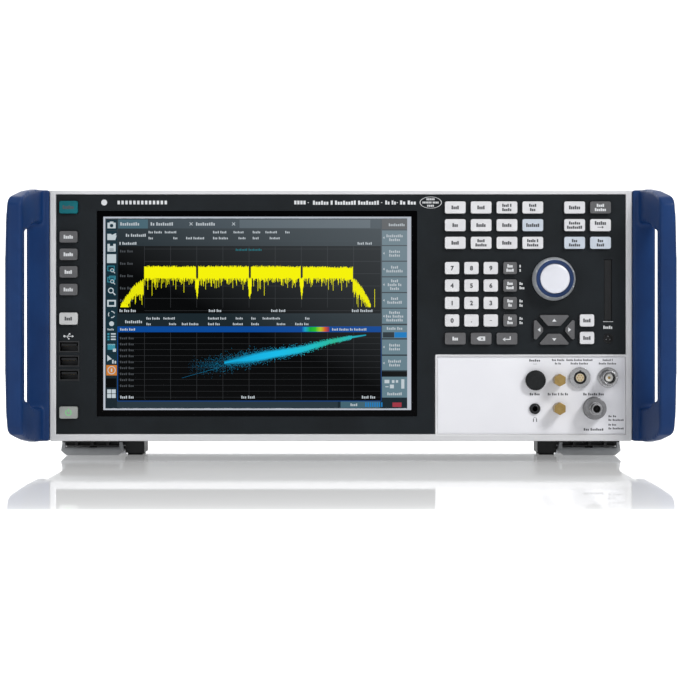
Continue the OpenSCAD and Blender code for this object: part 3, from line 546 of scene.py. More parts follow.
# The upper trace: a noise band with three notches, a ramp at each side and spikes under it
noise = random.Random(11)
trace = bmesh.new()
band_left, band_right, band_top, band_foot = 27.4, 174.6, 34.2, 43.2
notches = (64.6, 101.8, 138.4)
base_v = 62.8           # nothing of the trace reaches below this
step_u = 0.3
columns = round((band_right - band_left) / step_u)
for k in range(columns):
    u = band_left + k * step_u
    near = min(abs(u - n) for n in notches)
    foot = band_foot - 1.2 + min(13, noise.expovariate(0.48))
    top = band_top + noise.uniform(-0.9, 0.5) + 0.7 * max(0, (u - 120) / 55)
    if near < 1.3:
        foot = max(foot, 57.5 - 8 * near + noise.uniform(-1, 1))
    if near < 0.8:
        top = band_foot - noise.uniform(0, 1.5)
    box_on(trace, u, u + step_u, top, min(base_v, foot), 4)
for k in range(46):                                     # ramps that fall away at both sides
    share = k / 45
    u = band_left - 0.35 - 15.4 * share
    top = 44 + 17 * share ** 1.7 + noise.uniform(-1.2, 1.2)
    deep = top + 9.5 * (1 - 0.6 * share) + noise.expovariate(0.5)
    box_on(trace, u - step_u, u, top, max(top + 0.4, min(base_v, deep)), 4)
    u = band_right + 12.4 * share
    top = 43 + 17.6 * share ** 1.6 + noise.uniform(-1, 1)
    deep = top + 8.4 * (1 - 0.5 * share) + noise.expovariate(0.5)
    box_on(trace, u, u + step_u * 0.85, top, max(top + 0.4, min(base_v, deep)), 4)
box_on(trace, 189.9, 190.2, 50, base_v, 4)
for k in range(14):
    u = 10.6 + 0.42 * k
    box_on(trace, u, u + 0.4, 61.2 + noise.uniform(-1.5, 0.8), base_v, 4)
show("trace", lit("lit_yellow", "fbf80a", painted_sheen=0), trace)

# The lower trace: dots that gather into a wedge, from sparse blue to dense green. Each edge
# point has its u, and the v of the wedge's upper and lower edge there.
edge_points = ((80.9, 96.5, 109.1), (100, 94.2, 104.6), (118, 92.4, 99.6), (138.5, 89.9, 95.6),
               (157, 85.8, 89.2), (172, 83.1, 85.4), (187.4, 81.4, 82.4))


def wedge(u):
    """The upper and the lower edge of the dense dots at u."""
    for a, b in zip(edge_points, edge_points[1:]):
        if u <= b[0]:
            share = max(0, (u - a[0]) / (b[0] - a[0]))
            return [a[i] + (b[i] - a[i]) * share for i in (1, 2)]
    return edge_points[-1][1:]


dots = bmesh.new()
dot_count = 6400
for k in range(dot_count):
    share = noise.random() ** 0.62
    u = 58 + 116 * share
    high, low = wedge(u)
    centre = (high + low) / 2 + max(0, (81 - u)) * 0.1
    spread = (low - high) / 2 * (1 if u > 81 else 0.85)
    v = centre + noise.gauss(0, 0.52) * spread
    dot = 0.09 + 0.1 * share
    box_on(dots, u - dot, u + dot, v - dot, v + dot, 4)
body_left, body_right = 84, 188


def inset(u):
    """How far the solid body stays inside the wedge's edge at u, as a share of its height."""
    return 0.16 + 0.32 * max(0, 1 - (u - body_left) / 30) ** 1.2


def wedge_body(depth):
    """The outline of the solid body, depth shares of its height further in."""
    whole = range(body_left, body_right, 4)
    top = [(u, wedge(u)[0] + (wedge(u)[1] - wedge(u)[0]) * (inset(u) * 0.9 + depth))
           for u in whole]
    return top + [(u, wedge(u)[1] - (wedge(u)[1] - wedge(u)[0]) * (inset(u) + depth))
                  for u in reversed(whole)]


# a thin tail runs on from the wedge's point to the left
shape_on(dots, ((54, 112.6), (80, 105.3), (80, 105.5), (54, 112.8)), 3.6)
# the dots turn from blue to green towards the right, and the tip is blue again
show("scatter", graded("lit_cyan", 56, 188, (
    (0, "0c5f86"), (0.2, "0f86b0"), (0.36, "17a6d6"), (0.6, "1cb2d8"), (0.72, "22b8b2"),
    (0.8, "30b796"), (0.9, "2ab0bc"), (1, "1c86a8"))), dots)
# its body is dimmer at the rim than along the middle
for name, depth, layer, share in (("rim", -0.06, 3.4, 0.62), ("body", 0.02, 3.7, 0.84),
                                  ("core", 0.1, 4.6, 1)):
    tones = [(place, "".join(f"{round(int(code[i:i + 2], 16) * share):02x}" for i in (0, 2, 4)))
             for place, code in ((0, "1094c8"), (0.5, "1abcea"), (0.7, "22bcc0"),
                                 (0.8, "30b796"), (0.9, "2ab0bc"), (1, "1c86a8"))]
    show("scatter_" + name, graded("lit_wedge_" + name, 56, 188, tones),
         shape_on(bmesh.new(), wedge_body(depth), layer))

# Softkeys and status marks
soft = bmesh.new()
soft_tops = (8.6, 19.6, 30.7, 41.7, 52.8, 63.8, 75.5, 85.6, 97.1, 111.9)
soft_heights = (10.3, 10.3, 10.3, 10.3, 10.3, 10.6, 9.1, 10.5, 10.2, 14.6)
for top, tall in zip(soft_tops, soft_heights):
    box_on(soft, soft_left, picture_w, top, top + tall, 2)
show("softkeys", lit("lit_softkey", "66828e", painted_sheen=0.5), soft)

cyan = bmesh.new()
box_on(cyan, 204, 212.6, 80.4, 84.2, 3)
for k in range(8):
    box_on(cyan, 183.4 + 1.6 * k, 184.3 + 1.6 * k, 129.9, 133.1, 3)
show("toggle", lit("lit_sky", "1c7fc4", painted_sheen=0.1), cyan)
show("toggle_rest", lit("lit_night", "1c2a32", painted_sheen=0.3),
     box_on(bmesh.new(), 195.8, 203.8, 80.4, 84.2, 3))
marks = box_on(bmesh.new(), 202.6, 209, 130, 133.2, 3)
show("status_mark", lit("lit_red", "a23a48", painted_sheen=0.1), marks)


def frame_on(mesh, u, v, across, down, line, layer):
    """An outline whose top left corner is at u and v."""
    for u0, u1, v0, v1 in ((0, across, 0, line), (0, across, down - line, down),
                           (0, line, line, down - line),
                           (across - line, across, line, down - line)):
        box_on(mesh, u + u0, u + u1, v + v0, v + v1, layer)


def lens_on(mesh, u, v, r, layer):
    """A magnifying glass about u and v."""
    ring(mesh, screen_x + u, screen_z - v, r, 0.4 * r, glass_y - layer * layer_t, steps=20)
    shape_on(mesh, [(u + a * r, v + b * r) for a, b in
                    ((0.6, 0.95), (0.95, 0.6), (2, 1.65), (1.65, 2))], layer)


# The column of signs at the left: square tiles under one another, with a plain sign on each
tile_u, tile_v = 0.7, 1.1                               # the top tile's corner
tile_side, tile_pitch = 7.4, 7.88
tile_x = screen_x + tile_u + tile_side / 2              # the column's middle
sign_layer, ink_layer = 2.4, 3
sign_y = glass_y - sign_layer * layer_t
signs = {shade: bmesh.new() for shade in ("tile", "pale", "teal", "ink")}


def sign(shade, k, *boxes):
    """Boxes of [u, u, v, v] in tile k of the column, from its top left corner."""
    top = tile_v + tile_pitch * k
    layer = {"tile": 1.4, "ink": ink_layer}.get(shade, sign_layer)
    for u0, u1, v0, v1 in boxes:
        box_on(signs[shade], tile_u + u0, tile_u + u1, top + v0, top + v1, layer)


for k in range(13):
    sign("tile", k, (0, tile_side, 0, tile_side))
sign("pale", 0, (0.8, 6.6, 2, 6), (2.4, 5, 1.2, 2))                 # camera
disc(signs["ink"], tile_x, screen_z - 5.2, 1.25, glass_y - ink_layer * layer_t, layer_t)
for points in (((1.4, 11), (4, 11), (4.6, 11.8), (7.6, 10.4), (7.6, 12), (1.4, 15.2)),
               ((1.4, 15.4), (2.6, 12.6), (8, 12.2), (7, 15.4))):      # open folder
    shape_on(signs["pale"], points, sign_layer)
sign("pale", 2, (0.8, 6.6, 1.2, 6.6))                               # disc
sign("ink", 2, (2.5, 4.9, 1.2, 2.7), (2.2, 5.2, 4.6, 5), (2.2, 5.2, 5.5, 5.9))
box_on(signs["pale"], 1.2, 7.6, 25.4, 31.6, sign_layer)             # page
for k in (4, 5):                                                    # frames under a lens
    frame_on(signs["teal"], 1.5, 2 + tile_pitch * k, 5, 3.8, 0.45, sign_layer)
    lens_on(signs["pale"], 4.8, 5.2 + tile_pitch * k, 1.1, ink_layer)
frame_on(signs["teal"], 2.6, 40.6, 4.6, 2.6, 0.45, sign_layer)
lens_on(signs["pale"], 3.9, 51, 1.7, sign_layer)
frame_on(signs["pale"], 1.3, 57.6, 6.2, 4.8, 1.1, sign_layer)       # full view
for turn in (0, 120, 240):                                          # three arrows in a ring
    ring(signs["pale"], tile_x, screen_z - 67.9, 2.2, 0.6, sign_y, turn + 20, 75, 8)
disc(signs["pale"], tile_x, screen_z - 74.4, 1.7, sign_y, layer_t)
words_on(signs["pale"], 1.6, 78.4, sign_layer, [5], 1.4)
for line in range(3):                                               # list with bars
    sign("teal", 10, (0.8, 2.2, 1.2 + 1.9 * line, 2.4 + 1.9 * line))
    sign("pale", 10, (3.2, 6.6, 1.2 + 1.9 * line, 2.2 + 1.9 * line))
sign("teal", 11, (0.9, 6.2, 0.9, 5))                                # window
sign("pale", 11, (0.9, 6.2, 0.9, 1.7), (4.6, 6.8, 4.2, 6.4))
pointer = ((1.4, 96.4), (1.4, 101), (2.6, 100), (4.6, 99.4))
shape_on(signs["pale"], pointer, sign_layer)
words_on(signs["pale"], 4.8, 101.2, sign_layer, [2], 2.6)
orange = box_on(bmesh.new(), tile_u, tile_u + tile_side, 103.6, 110.9, 1.4)
show("help_tile", lit("lit_orange", "cf7f36", painted_sheen=0.1), orange)
ring(signs["pale"], tile_x, screen_z - 107.2, 2.6, 0.5, sign_y)
words_on(signs["pale"], 3.9, 107.2, sign_layer, [1], 2.4)
for u, v in ((1.3, 120.8), (4.5, 120.8), (1.3, 124), (4.5, 124)):   # four panes
    box_on(signs["pale"], u, u + 2.8, v, v + 2.8, sign_layer)
# small marks on the lowest soft key
for u0, u1, v0, v1 in ((197, 200.4, 114, 116.4), (202.2, 204, 114.2, 116.2),
                       (205, 206.6, 114.2, 116), (208.8, 211, 113.6, 120.2),
                       (197.6, 199.8, 118.6, 119.2), (200.8, 203.6, 117.4, 120)):
    box_on(signs["pale"], u0, u1, v0, v1, ink_layer)
for shade, code in (("tile", "17323d"), ("pale", "c3ced4"), ("teal", "3f93a6"), ("ink", "17323d")):
    show("signs_" + shade, lit("lit_sign_" + shade, code, painted_sheen=0.1), signs[shade])

# Words of the picture, each with the u and v that it starts from
notes = bmesh.new()
for u, v, letters, size in (
        (10.6, 4, [9], 1.9), (32, 4, [2, 8], 1.9), (64, 4, [9], 1.9),
        (14.5, 12, [2, 8], 1.7), (30.5, 9.8, [3, 5], 1.4), (42, 9.8, [8], 1.3),
        (76, 9.8, [4, 4], 1.4), (90.5, 9.8, [7], 1.3), (104, 9.8, [5], 1.4),
        (113, 9.8, [8], 1.3), (127, 9.8, [3], 1.4),
        (30.5, 14, [3], 1.4), (48, 14, [3], 1.3), (57, 14, [4, 7], 1.4), (76, 14, [3, 6], 1.4),
        (94, 14, [5], 1.3), (104, 14, [4], 1.4), (116, 14, [7], 1.3), (10, 17.7, [1, 8], 1.6),
        (178, 17.7, [4, 4], 1.5), (10, 65.2, [2, 3, 3], 1.6), (73, 65.2, [4, 3], 1.5),
        (117, 65.2, [4, 4], 1.5), (174, 65.2, [4, 7], 1.6), (14, 73, [9], 1.7),
        (29, 70.6, [3, 5], 1.4), (41, 70.6, [8], 1.3), (72.5, 70.6, [7, 4], 1.4),
        (92, 70.6, [5], 1.3), (103, 70.6, [3], 1.4), (111, 70.6, [12], 1.3),
        (141, 70.6, [3], 1.4), (29, 74.6, [3], 1.4), (45, 74.6, [5], 1.3),
        (54, 74.6, [4, 6], 1.4), (72.5, 74.6, [4, 3], 1.4), (90, 74.6, [7], 1.3),
        (103, 74.6, [5], 1.4), (121, 74.6, [6], 1.3), (134, 74.6, [5, 3], 1.4),
        (10.5, 78.4, [5, 4], 1.4), (160, 78.4, [4, 6, 2, 8], 1.4), (10.6, 126.2, [4, 3], 1.6),
        (96, 126.2, [3, 4], 1.6), (181, 126.2, [4, 3], 1.6), (173, 131.6, [4], 1.6),
        (200, 4.6, [9], 1.6)):
    words_on(notes, u, v, 3, letters, size * 1.22)
for top, tall, lines in zip(soft_tops, soft_heights, (
        ([9], [6]), ([6], [6]), ([4], [9]), ([4], [5, 2], [5]), ([4], [8]), ([6], [3, 6], [9]),
        ([5, 3],), ([6], [6]), ([7], [6]), ([8],))):
    for i, letters in enumerate(lines):
        spot = top + tall / 2 + (i - (len(lines) - 1) / 2) * 2.7
        if len(lines) == 1:
            spot = top + (2.2 if letters == [5, 3] else tall - 2.6)
        words_on(notes, 204.3, spot, 3, letters, 2, align=0.5)
for u in (60.5, 90.5):                                  # crosses that close a tab
    for slant in (1, -1):
        shape_on(notes, [(u + a, 4 + slant * b) for a, b in
                         ((-1.2, -0.9), (-0.9, -1.2), (1.2, 0.9), (0.9, 1.2))], 3)
for top, tall in zip(soft_tops, soft_heights):          # arrow heads that open a menu
    if tall > 10 and top < 110:
        mid_v = top + tall / 2
        shape_on(notes, ((195.9, mid_v), (197, mid_v - 0.9), (197, mid_v + 0.9)), 3)
show("words", lit("lit_words", "c2cad0", painted_sheen=0.1), notes)

faint = bmesh.new()
for k in range(5):
    words_on(faint, 10.4, 23.2 + upper_row * k, 3, [3, 3], 1.8, width=9.4)
for k in range(9):
    words_on(faint, 10.4, 84.6 + lower_row * k, 3, [4, 3], 1.6, width=10)
show("faint_words", lit("lit_faint", "4a4e52", painted_sheen=0.1), faint)
note = words_on(bmesh.new(), 92, 22.2, 3, [8, 9], 1.6)
show("trace_note", lit("lit_dim_teal", "1f6f7a", painted_sheen=0.1), note)


# Keys -------------------------------------------------------------------------
# Hard plastic caps on silicone mats, each in its own cut-out with a thin gap round it.
# They are moulded in white, grey-blue, petrol or grey, with dark print on the pale ones and
# white print on the dark.


def separate(node):
    """The separate solids of a CAD node, top row first and then from left to right."""
    whole = solid(node)
    whole.verts.index_update()
    owner = {}
    for start in whole.verts:
        if start.index in owner:
            continue
        owner[start.index] = start.index
        queue = [start]
        while queue:
            for edge in queue.pop().link_edges:
                for vert in edge.verts:
                    if vert.index not in owner:
                        owner[vert.index] = start.index
                        queue.append(vert)
    parts = {}
    for face in whole.faces:
        part, made = parts.setdefault(owner[face.verts[0].index], (bmesh.new(), {}))
        for vert in face.verts:
            if vert.index not in made:
                made[vert.index] = part.verts.new(vert.co)
        part.faces.new([made[vert.index] for vert in face.verts])
    whole.free()
    found = []
    for part, made in parts.values():
        xs = [v.co.x for v in part.verts]
        zs = [v.co.z for v in part.verts]
        centre = ((min(xs) + max(xs)) * 500, ((min(zs) + max(zs)) / 2 - middle_z) * 1000)
        found.append((centre, part))
    return sorted(found, key=lambda f: (-round(f[0][1] / 4), f[0][0]))


def key_cap(mesh, width=0.75):
    """Rounds the edges round the front face of a key."""
    front = min(v.co.y for v in mesh.verts)
    rim_edges = [e for e in mesh.edges if all(abs(v.co.y - front) < 1e-5 for v in e.verts)
                 and sum(f.normal.y < -0.9 for f in e.link_faces) == 1]
    return soften(mesh, width, 3, rim_edges)


# Satin ABS caps: the white of the function and number keys, slightly cool
white_cap = finish("white_abs_caps", "c8c8cb", "d2d2d4", 0.36, drift=8, grain=0.5, depth=0.004,
                   Coat_Weight=0.15)
# the same plastic in grey-blue, for the keys that start and stop a sweep
blue_cap = finish("grey_blue_abs_caps", "b2bac4", "bcc4ce", 0.36, drift=8, grain=0.5,
                  depth=0.004, Coat_Weight=0.15)
# dark grey caps, with the same satin face
dark_cap = finish("dark_grey_abs_caps", "4c4c4e", "565658", 0.4, drift=8, grain=0.5, depth=0.006)
# petrol green cap of the preset key
teal_cap = finish("petrol_abs_cap", "00575f", "03626b", 0.38, drift=8, grain=0.5, depth=0.005,
                  Specular_IOR_Level=0.2)
# light grey cap of the mode key and the grey one of the power key
mode_cap = finish("light_grey_abs_cap", "b4b4b4", "bebebe", 0.38, drift=8, grain=0.5, depth=0.005)
power_cap = finish("grey_abs_cap", "90938f", "9a9d99", 0.4, drift=8, grain=0.5, depth=0.006)
# Dark print of the pale keys: matt ink
key_ink = finish("grey_key_print", "2e3034", "383a3e", 0.6, grain=0.3, depth=0.003)

key_front = front_of("setup_key")


def key_words(mesh, x, z, lines):
    """One or two lines of small blocks in the middle of a key."""
    size = 2.7 if len(lines) == 1 else 2.2
    for i, letters in enumerate(lines):
        line_z = z + ((len(lines) - 1) / 2 - i) * 3.0
        longest = min(11.4, sum(letters) * 1.35)
        words(mesh, x, line_z, key_front, letters, size, width=longest, dash=0.8)


def triangle(mesh, x, z, size, turn, y):
    """A small arrow head that points right, turned by turn degrees."""
    tip = [(0.5, 0), (-0.45, 0.75), (-0.45, -0.75)]
    c, s = math.cos(math.radians(turn)), math.sin(math.radians(turn))
    plate(mesh, [(x + size * (a * c - b * s), z + size * (a * s + b * c)) for a, b in tip],
          y - print_t, y)


def digit(mesh, x, z, figure):
    """A digit in the plain built-in typeface, as a thin solid."""
    curve = bpy.data.curves.new("digit", "FONT")
    curve.body = figure
    curve.size = 4.2
    curve.extrude = 0.5 * print_t
    curve.offset = 0.19
    curve.resolution_u = 4
    curve.align_x = "CENTER"
    text = bpy.data.objects.new("digit", curve)
    flat = bpy.data.meshes.new_from_object(text)
    made = [mesh.verts.new(at(x + v.co.x, key_front - v.co.z - curve.extrude, z + v.co.y - 1.5))
            for v in flat.vertices]
    for face in flat.polygons:
        mesh.faces.new([made[i] for i in face.vertices])
    bmesh.ops.remove_doubles(mesh, verts=made, dist=1e-7)
    bpy.data.objects.remove(text)
    bpy.data.curves.remove(curve)
    bpy.data.meshes.remove(flat)


# how many blocks stand in each word, line by line, on each key of a row
function_labels = (
    ([[4]], [[4]], [[4, 1], [5]], [[4], [3]], [[6]], [[4], [6]]),
    ([[3]], [[5]], [[5]], [[7]], [[6], [8]], [[6]]),
    ([[4]], [[4], [6]], [[5]], [[5, 1], [6]], [[3], [6]], [[3], [4]]),
)
function_caps = ("wwwwwd", "wwwbww", "wwwwbb")
caps = {"w": white_cap, "b": blue_cap, "d": dark_cap}
for row in range(3):
    node = f"function_keys_{row + 1}"
    dark, pale = bmesh.new(), bmesh.new()
    for column, ((x, z), cap) in enumerate(separate(node)):
        material = caps[function_caps[row][column]]
        made = piece(f"function_key_{row + 1}_{column + 1}", body_of(node),
                     material, key_cap(cap))
        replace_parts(made, node)
        arrow_key = (row, column) == (1, 5)
        key_words(pale if material is dark_cap else dark, x, z + (1.5 if arrow_key else 0),
                  function_labels[row][column])
        if arrow_key:
            bar(dark, x - 2.2, x + 1.2, z - 1.7, z - 1.3, key_front)
            triangle(dark, x + 1.6, z - 1.5, 1.3, 0, key_front)
    piece(node + "_print", body_of(node), key_ink, dark)
    if pale.verts:
        piece(node + "_pale_print", body_of(node), white_ink, pale)
    else:
        pale.free()

number_signs = ("789", "456", "123", "0")
unit_labels = ([[3], [4]], [[3], [4]], [[3], [2]], [[2], [3]])
for row in range(4):
    node = f"number_keys_{row + 1}"
    dark, pale = bmesh.new(), bmesh.new()
    for column, ((x, z), cap) in enumerate(separate(node)):
        material = white_cap if column < 3 else dark_cap
        made = piece(f"number_key_{row + 1}_{column + 1}", body_of(node),
                     material, key_cap(cap))
        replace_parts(made, node)
        if column < len(number_signs[row]):
            digit(dark, x, z, number_signs[row][column])
        elif column == 1:
            disc(dark, x, z - 1, 0.4, key_front)
        elif column == 2:
            bar(dark, x - 0.8, x + 0.8, z - 0.2, z + 0.2, key_front)
        elif column == 3:
            key_words(pale, x, z, unit_labels[row])
        elif column == 4:
            key_words(pale, x, z, [[3]])
        elif column == 5:                               # erase: a block that points left
            plate(pale, [(x - 3.2, z), (x - 1.5, z + 1.5), (x + 2.8, z + 1.5),
                         (x + 2.8, z - 1.5), (x - 1.5, z - 1.5)], key_front - print_t, key_front)
            cross = bmesh.new()
            for tilt in (45, -45):
                c, s = math.cos(math.radians(tilt)), math.sin(math.radians(tilt))
                corners = [(1.1, 0.22), (-1.1, 0.22), (-1.1, -0.22), (1.1, -0.22)]
                plate(cross, [(x + 0.6 + a * c - b * s, z + a * s + b * c) for a, b in corners],
                      key_front - 2 * print_t, key_front - print_t)
            piece("erase_cross", body_of(node), dark_cap, cross)
        elif column == 6:                               # enter: a hooked arrow
            bar(pale, x - 1.8, x + 2.6, z - 0.9, z - 0.2, key_front)
            bar(pale, x + 1.9, x + 2.6, z - 0.2, z + 1.6, key_front)
            triangle(pale, x - 2.1, z - 0.55, 1.9, 180, key_front)
    piece(node + "_print", body_of(node), key_ink, dark)
    piece(node + "_pale_print", body_of(node), white_ink, pale)

single_keys = {
    "setup_key": (dark_cap, [5]), "print_key": (dark_cap, [5]), "file_key": (dark_cap, [4]),
    "tools_key": (dark_cap, [5]), "mode_key": (mode_cap, [4]), "preset_key": (teal_cap, [6]),
    "undo_key": (white_cap, [4]), "redo_key": (white_cap, [4]), "power_key": (power_cap, []),
}
for node, (material, letters) in single_keys.items():
    (x, z), cap = separate(node)[0]
    made = piece(node + "_cap", body_of(node), material, key_cap(cap))
    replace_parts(made, node)
    if letters:
        printed = key_ink if material in (white_cap, mode_cap) else white_ink
        if material is teal_cap:
            printed = dark_ink
        lines = bmesh.new()
        key_words(lines, x, z, [letters])
        piece(node + "_print", body_of(node), printed, lines)

# The power key's sign is a ring with a bar, lit green from behind
power_x, power_z = middle("power_key")
power_sign = ring(bmesh.new(), power_x, power_z, 1.9, 0.5, key_front, 125, 290, 28)
bar(power_sign, power_x - 0.25, power_x + 0.25, power_z + 0.4, power_z + 2.7, key_front)
green_lens = finish("green_lit_lens", "3f9a50", "55ad66", 0.3, grain=0.3,
                    Emission_Color=srgb("5fd070"), Emission_Strength=0.5)
piece("power_sign", "power_key", green_lens, power_sign)

arrows = {"up_key": (150.3, -3.3, 90), "down_key": (150.3, -16.9, 270),
          "left_key": (139.6, -9.9, 180), "right_key": (161.1, -9.9, 0)}
for node, (x, z, turn) in arrows.items():
    cap = separate(node)[0][1]
    made = piece(node + "_cap", body_of(node), dark_cap, key_cap(cap, 0.6))
    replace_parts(made, node)
    mark = bmesh.new()
    triangle(mark, x, z, 2.1, turn, key_front)
    piece(node + "_print", body_of(node), white_ink, mark)


# Main knob --------------------------------------------------------------------
# A turned aluminium knob on the encoder's shaft: a bright skirt, a blue anodised ring and
# a pale, slightly domed cap.


def radius_of(node):
    """The radius of a round CAD node, in millimetres."""
    low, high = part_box(node)
    return (high.x - low.x) * 500


knob = middle("main_knob")
knob_r = radius_of("main_knob")
knob_front = front_of("main_knob")
ring_r = knob_r - 1.9
cap_r = 10.4

# Turned and lightly blasted aluminium: a fine grain, drawn 0.5 mm wide so that it shows
skirt_metal = finish("turned_aluminium", "c2c6cb", "d0d4d9", 0.36, grain=0.5, depth=0.004,
                     Metallic=0.55)
skirt = turned(bmesh.new(), knob, [
    (knob_r - 1, -0.8), (knob_r, -1.0), (knob_r, -1.7), (knob_r - 0.25, -2.1),
    (ring_r + 0.25, knob_front + 1.2), (ring_r - 0.1, knob_front + 0.75), (ring_r - 1, -8),
    (ring_r - 1, -0.8)], closed=True, steps=96)
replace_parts(piece("knob_skirt", body_of("main_knob"), skirt_metal, skirt, 40),
            "main_knob")

# Blue anodised aluminium: deep colour with a soft metallic shine
blue_anodised = finish("blue_anodised_aluminium", "182c4e", "203762", 0.36, grain=0.5,
                       depth=0.004, Metallic=0.5)
collar = turned(bmesh.new(), knob, [
    (ring_r - 0.15, -8), (ring_r - 0.15, knob_front + 0.8), (ring_r - 0.6, knob_front + 0.4),
    (cap_r + 0.4, knob_front + 0.5), (cap_r + 0.1, knob_front + 0.9), (cap_r + 0.1, -8)],
    closed=True, steps=96)
piece("knob_ring", body_of("main_knob"), blue_anodised, collar, 40)

# Pale anodised cap: nearly white, with a soft sheen
cap_metal = finish("pale_anodised_cap", "cdced5", "d6d7de", 0.4, drift=20, grain=0.5,
                   depth=0.003, Metallic=0.15)
crown = [(cap_r * s, knob_front + 0.02 + 0.5 * s ** 4) for s in (0.05, 0.4, 0.65, 0.82, 0.92)]
face = turned(bmesh.new(), knob, crown + [
    (cap_r * 0.975, knob_front + 0.7), (cap_r, knob_front + 1), (cap_r, -9), (5, -9)], steps=96)
piece("knob_cap", body_of("main_knob"), cap_metal, face, 50)

# Eight small white dots on the skirt, 45 degrees apart
marks = bmesh.new()
mark_r = knob_r - 1.25
for k in range(8):
    angle = math.radians(22 + 45 * k)
    spot = (knob[0] + mark_r * math.cos(angle), knob[1] + mark_r * math.sin(angle))
    turned(marks, spot, [(0.42, knob_front + 2.2), (0.3, knob_front + 1.4)], steps=12)
piece("knob_marks", body_of("main_knob"), white_ink, marks)


# Volume knob and headphone socket ---------------------------------------------
# A small black knob with a fluted edge and a grained face, and under it a black plastic
# socket for a small headphone plug, with a plated sleeve in its mouth.

volume = middle("volume_knob")
volume_r = radius_of("volume_knob")
volume_front = front_of("volume_knob")
# Soft-touch rubber coat: matt and dark, with a grain drawn 0.9 mm wide so that it shows
soft_touch = finish("soft_touch_rubber", "101213", "1b1d1f", 0.55, drift=2, grain=0.9, depth=0.12,
                    Specular_IOR_Level=0.2)


def fluted(centre, r, y, dip, flutes=36):
    """A loop whose edge dips between its flutes."""
    steps = flutes * 4
    found = []
    for i in range(steps):
        a = 2 * math.pi * i / steps
        s = r - dip * (0.5 + 0.5 * math.cos(flutes * a))
        found.append(at(centre[0] + s * math.cos(a), y, centre[1] + s * math.sin(a)))
    return found


grip = bmesh.new()
loft(grip, [fluted(volume, r, y, dip) for r, y, dip in (
    (volume_r - 2, volume_front, 0), (volume_r - 0.9, volume_front + 0.15, 0),
    (volume_r - 0.3, volume_front + 0.6, 0.1), (volume_r, volume_front + 1.2, 0.3),
    (volume_r, 0.2, 0.3), (1.5, 0.2, 0), (1.5, 11.4, 0))])
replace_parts(piece("volume_grip", body_of("volume_knob"), soft_touch, grip),
            "volume_knob")

refine("headphone_jack", black_abs, 0.25)
phones = middle("headphone_jack")
# Nickel plate over brass: bright and cool, with faint turning marks
nickel = finish("nickel_plate", "98989a", "acacae", 0.26, drift=4, grain=0.4, depth=0.004,
                Metallic=1)
sleeve = turned(bmesh.new(), phones, [(1.78, 0.4), (2.5, 0.4), (2.5, -1.25), (2.3, -1.35),
                                      (1.95, -1.35), (1.78, -1.1)], closed=True)
# Black nickel plate: bright but dark
black_nickel = finish("black_nickel", "3a3a3c", "4a4a4c", 0.3, grain=0.3, Metallic=1)
piece("headphone_sleeve", "root", black_nickel, sleeve)


# Front sockets ----------------------------------------------------------------
# Two ports under gold plated hexagon caps, a ringed socket with seven pins, a bayonet
# socket and the large radio input with its nut. All are screwed through the light panel.

# Gold plate over brass, with a dull sheen from handling
gold = finish("gold_plate", "937a48", "a48a55", 0.34, drift=3, grain=0.4, depth=0.006,
              Metallic=0.75)
refine("mixer_ports", gold, 0.3)

refine("sensor_socket", nickel, 0.35)
sensor = middle("sensor_socket")
# Cream insulator moulded round the pins
cream = finish("cream_insulator", "b3a283", "c8b796", 0.5, drift=3, grain=0.4, depth=0.01)
insert = turned(bmesh.new(), sensor, [(3.05, 2), (3.05, -1.25), (2.85, -1.5), (0.4, -1.5)])
piece("sensor_insert", "root", cream, insert)
well = turned(bmesh.new(), sensor, [(3.15, 6), (3.15, -0.8), (3.4, -1.2), (4.0, -2.5),
                                    (4.45, -2.5), (4.48, -2.2), (4.48, 6)], closed=True)
piece("sensor_ring", "root", black_abs, well)
contacts = bmesh.new()
spots = [(sensor[0] + 1.9 * math.cos(math.radians(60 * k)),
          sensor[1] + 1.9 * math.sin(math.radians(60 * k))) for k in range(6)]
for spot in [*spots, sensor]:
    turned(contacts, spot, [(0.42, 2), (0.42, -1.6), (0.25, -1.75)], steps=16)
piece("sensor_contacts", "root", gold, contacts)

refine("trigger_socket", nickel, 0.3)
trigger = middle("trigger_socket")
# White fluoropolymer round the centre contact: waxy and smooth
waxy_white = finish("waxy_white_insulator", "dcdad4", "e8e6e0", 0.4, drift=3, grain=0.5)


def bayonet(name, centre, mouth, inward):
    """The insulator and centre contact in the mouth of a bayonet socket."""
    tube = turned(bmesh.new(), centre, [
        (1.05, mouth + inward * 4.3), (2.62, mouth + inward * 4.3), (2.68, mouth + inward * 4.6),
        (2.68, mouth + inward * 7), (1.05, mouth + inward * 7)], closed=True)
    piece(name + "_insulator", "root", waxy_white, tube)
    contact = turned(bmesh.new(), centre, [
        (0.95, mouth + inward * 7), (0.95, mouth + inward * 4.1), (0.6, mouth + inward * 3.9)],
        steps=24)
    piece(name + "_contact", "root", gold, contact)


bayonet("trigger", trigger, front_of("trigger_socket"), 1)
washer = turned(bmesh.new(), trigger, [(4.9, 0.55), (7.1, 0.55), (7.15, -1.2), (6.9, -1.6),
                                       (5.4, -1.75), (4.9, -1.6)], closed=True)
piece("trigger_nut", "root", nickel, washer)

# Passivated steel of the radio input, duller and darker than the plated sockets
dull_steel = finish("passivated_steel", "757577", "8a8a8c", 0.3, drift=4, grain=0.4,
                    depth=0.006, Metallic=1)
refine("rf_input", dull_steel, 0.35)
rf = middle("rf_input")
rf_mouth = front_of("rf_input")
nut_face = rf_mouth + 6
# a stainless insert ring round the black mouth of the input
insert_ring = turned(bmesh.new(), rf, [
    (2.62, rf_mouth + 0.5), (2.75, rf_mouth - 0.02), (3.2, rf_mouth - 0.02),
    (3.3, rf_mouth + 0.5)], closed=True)
piece("rf_mouth_ring", "root", nickel, insert_ring)
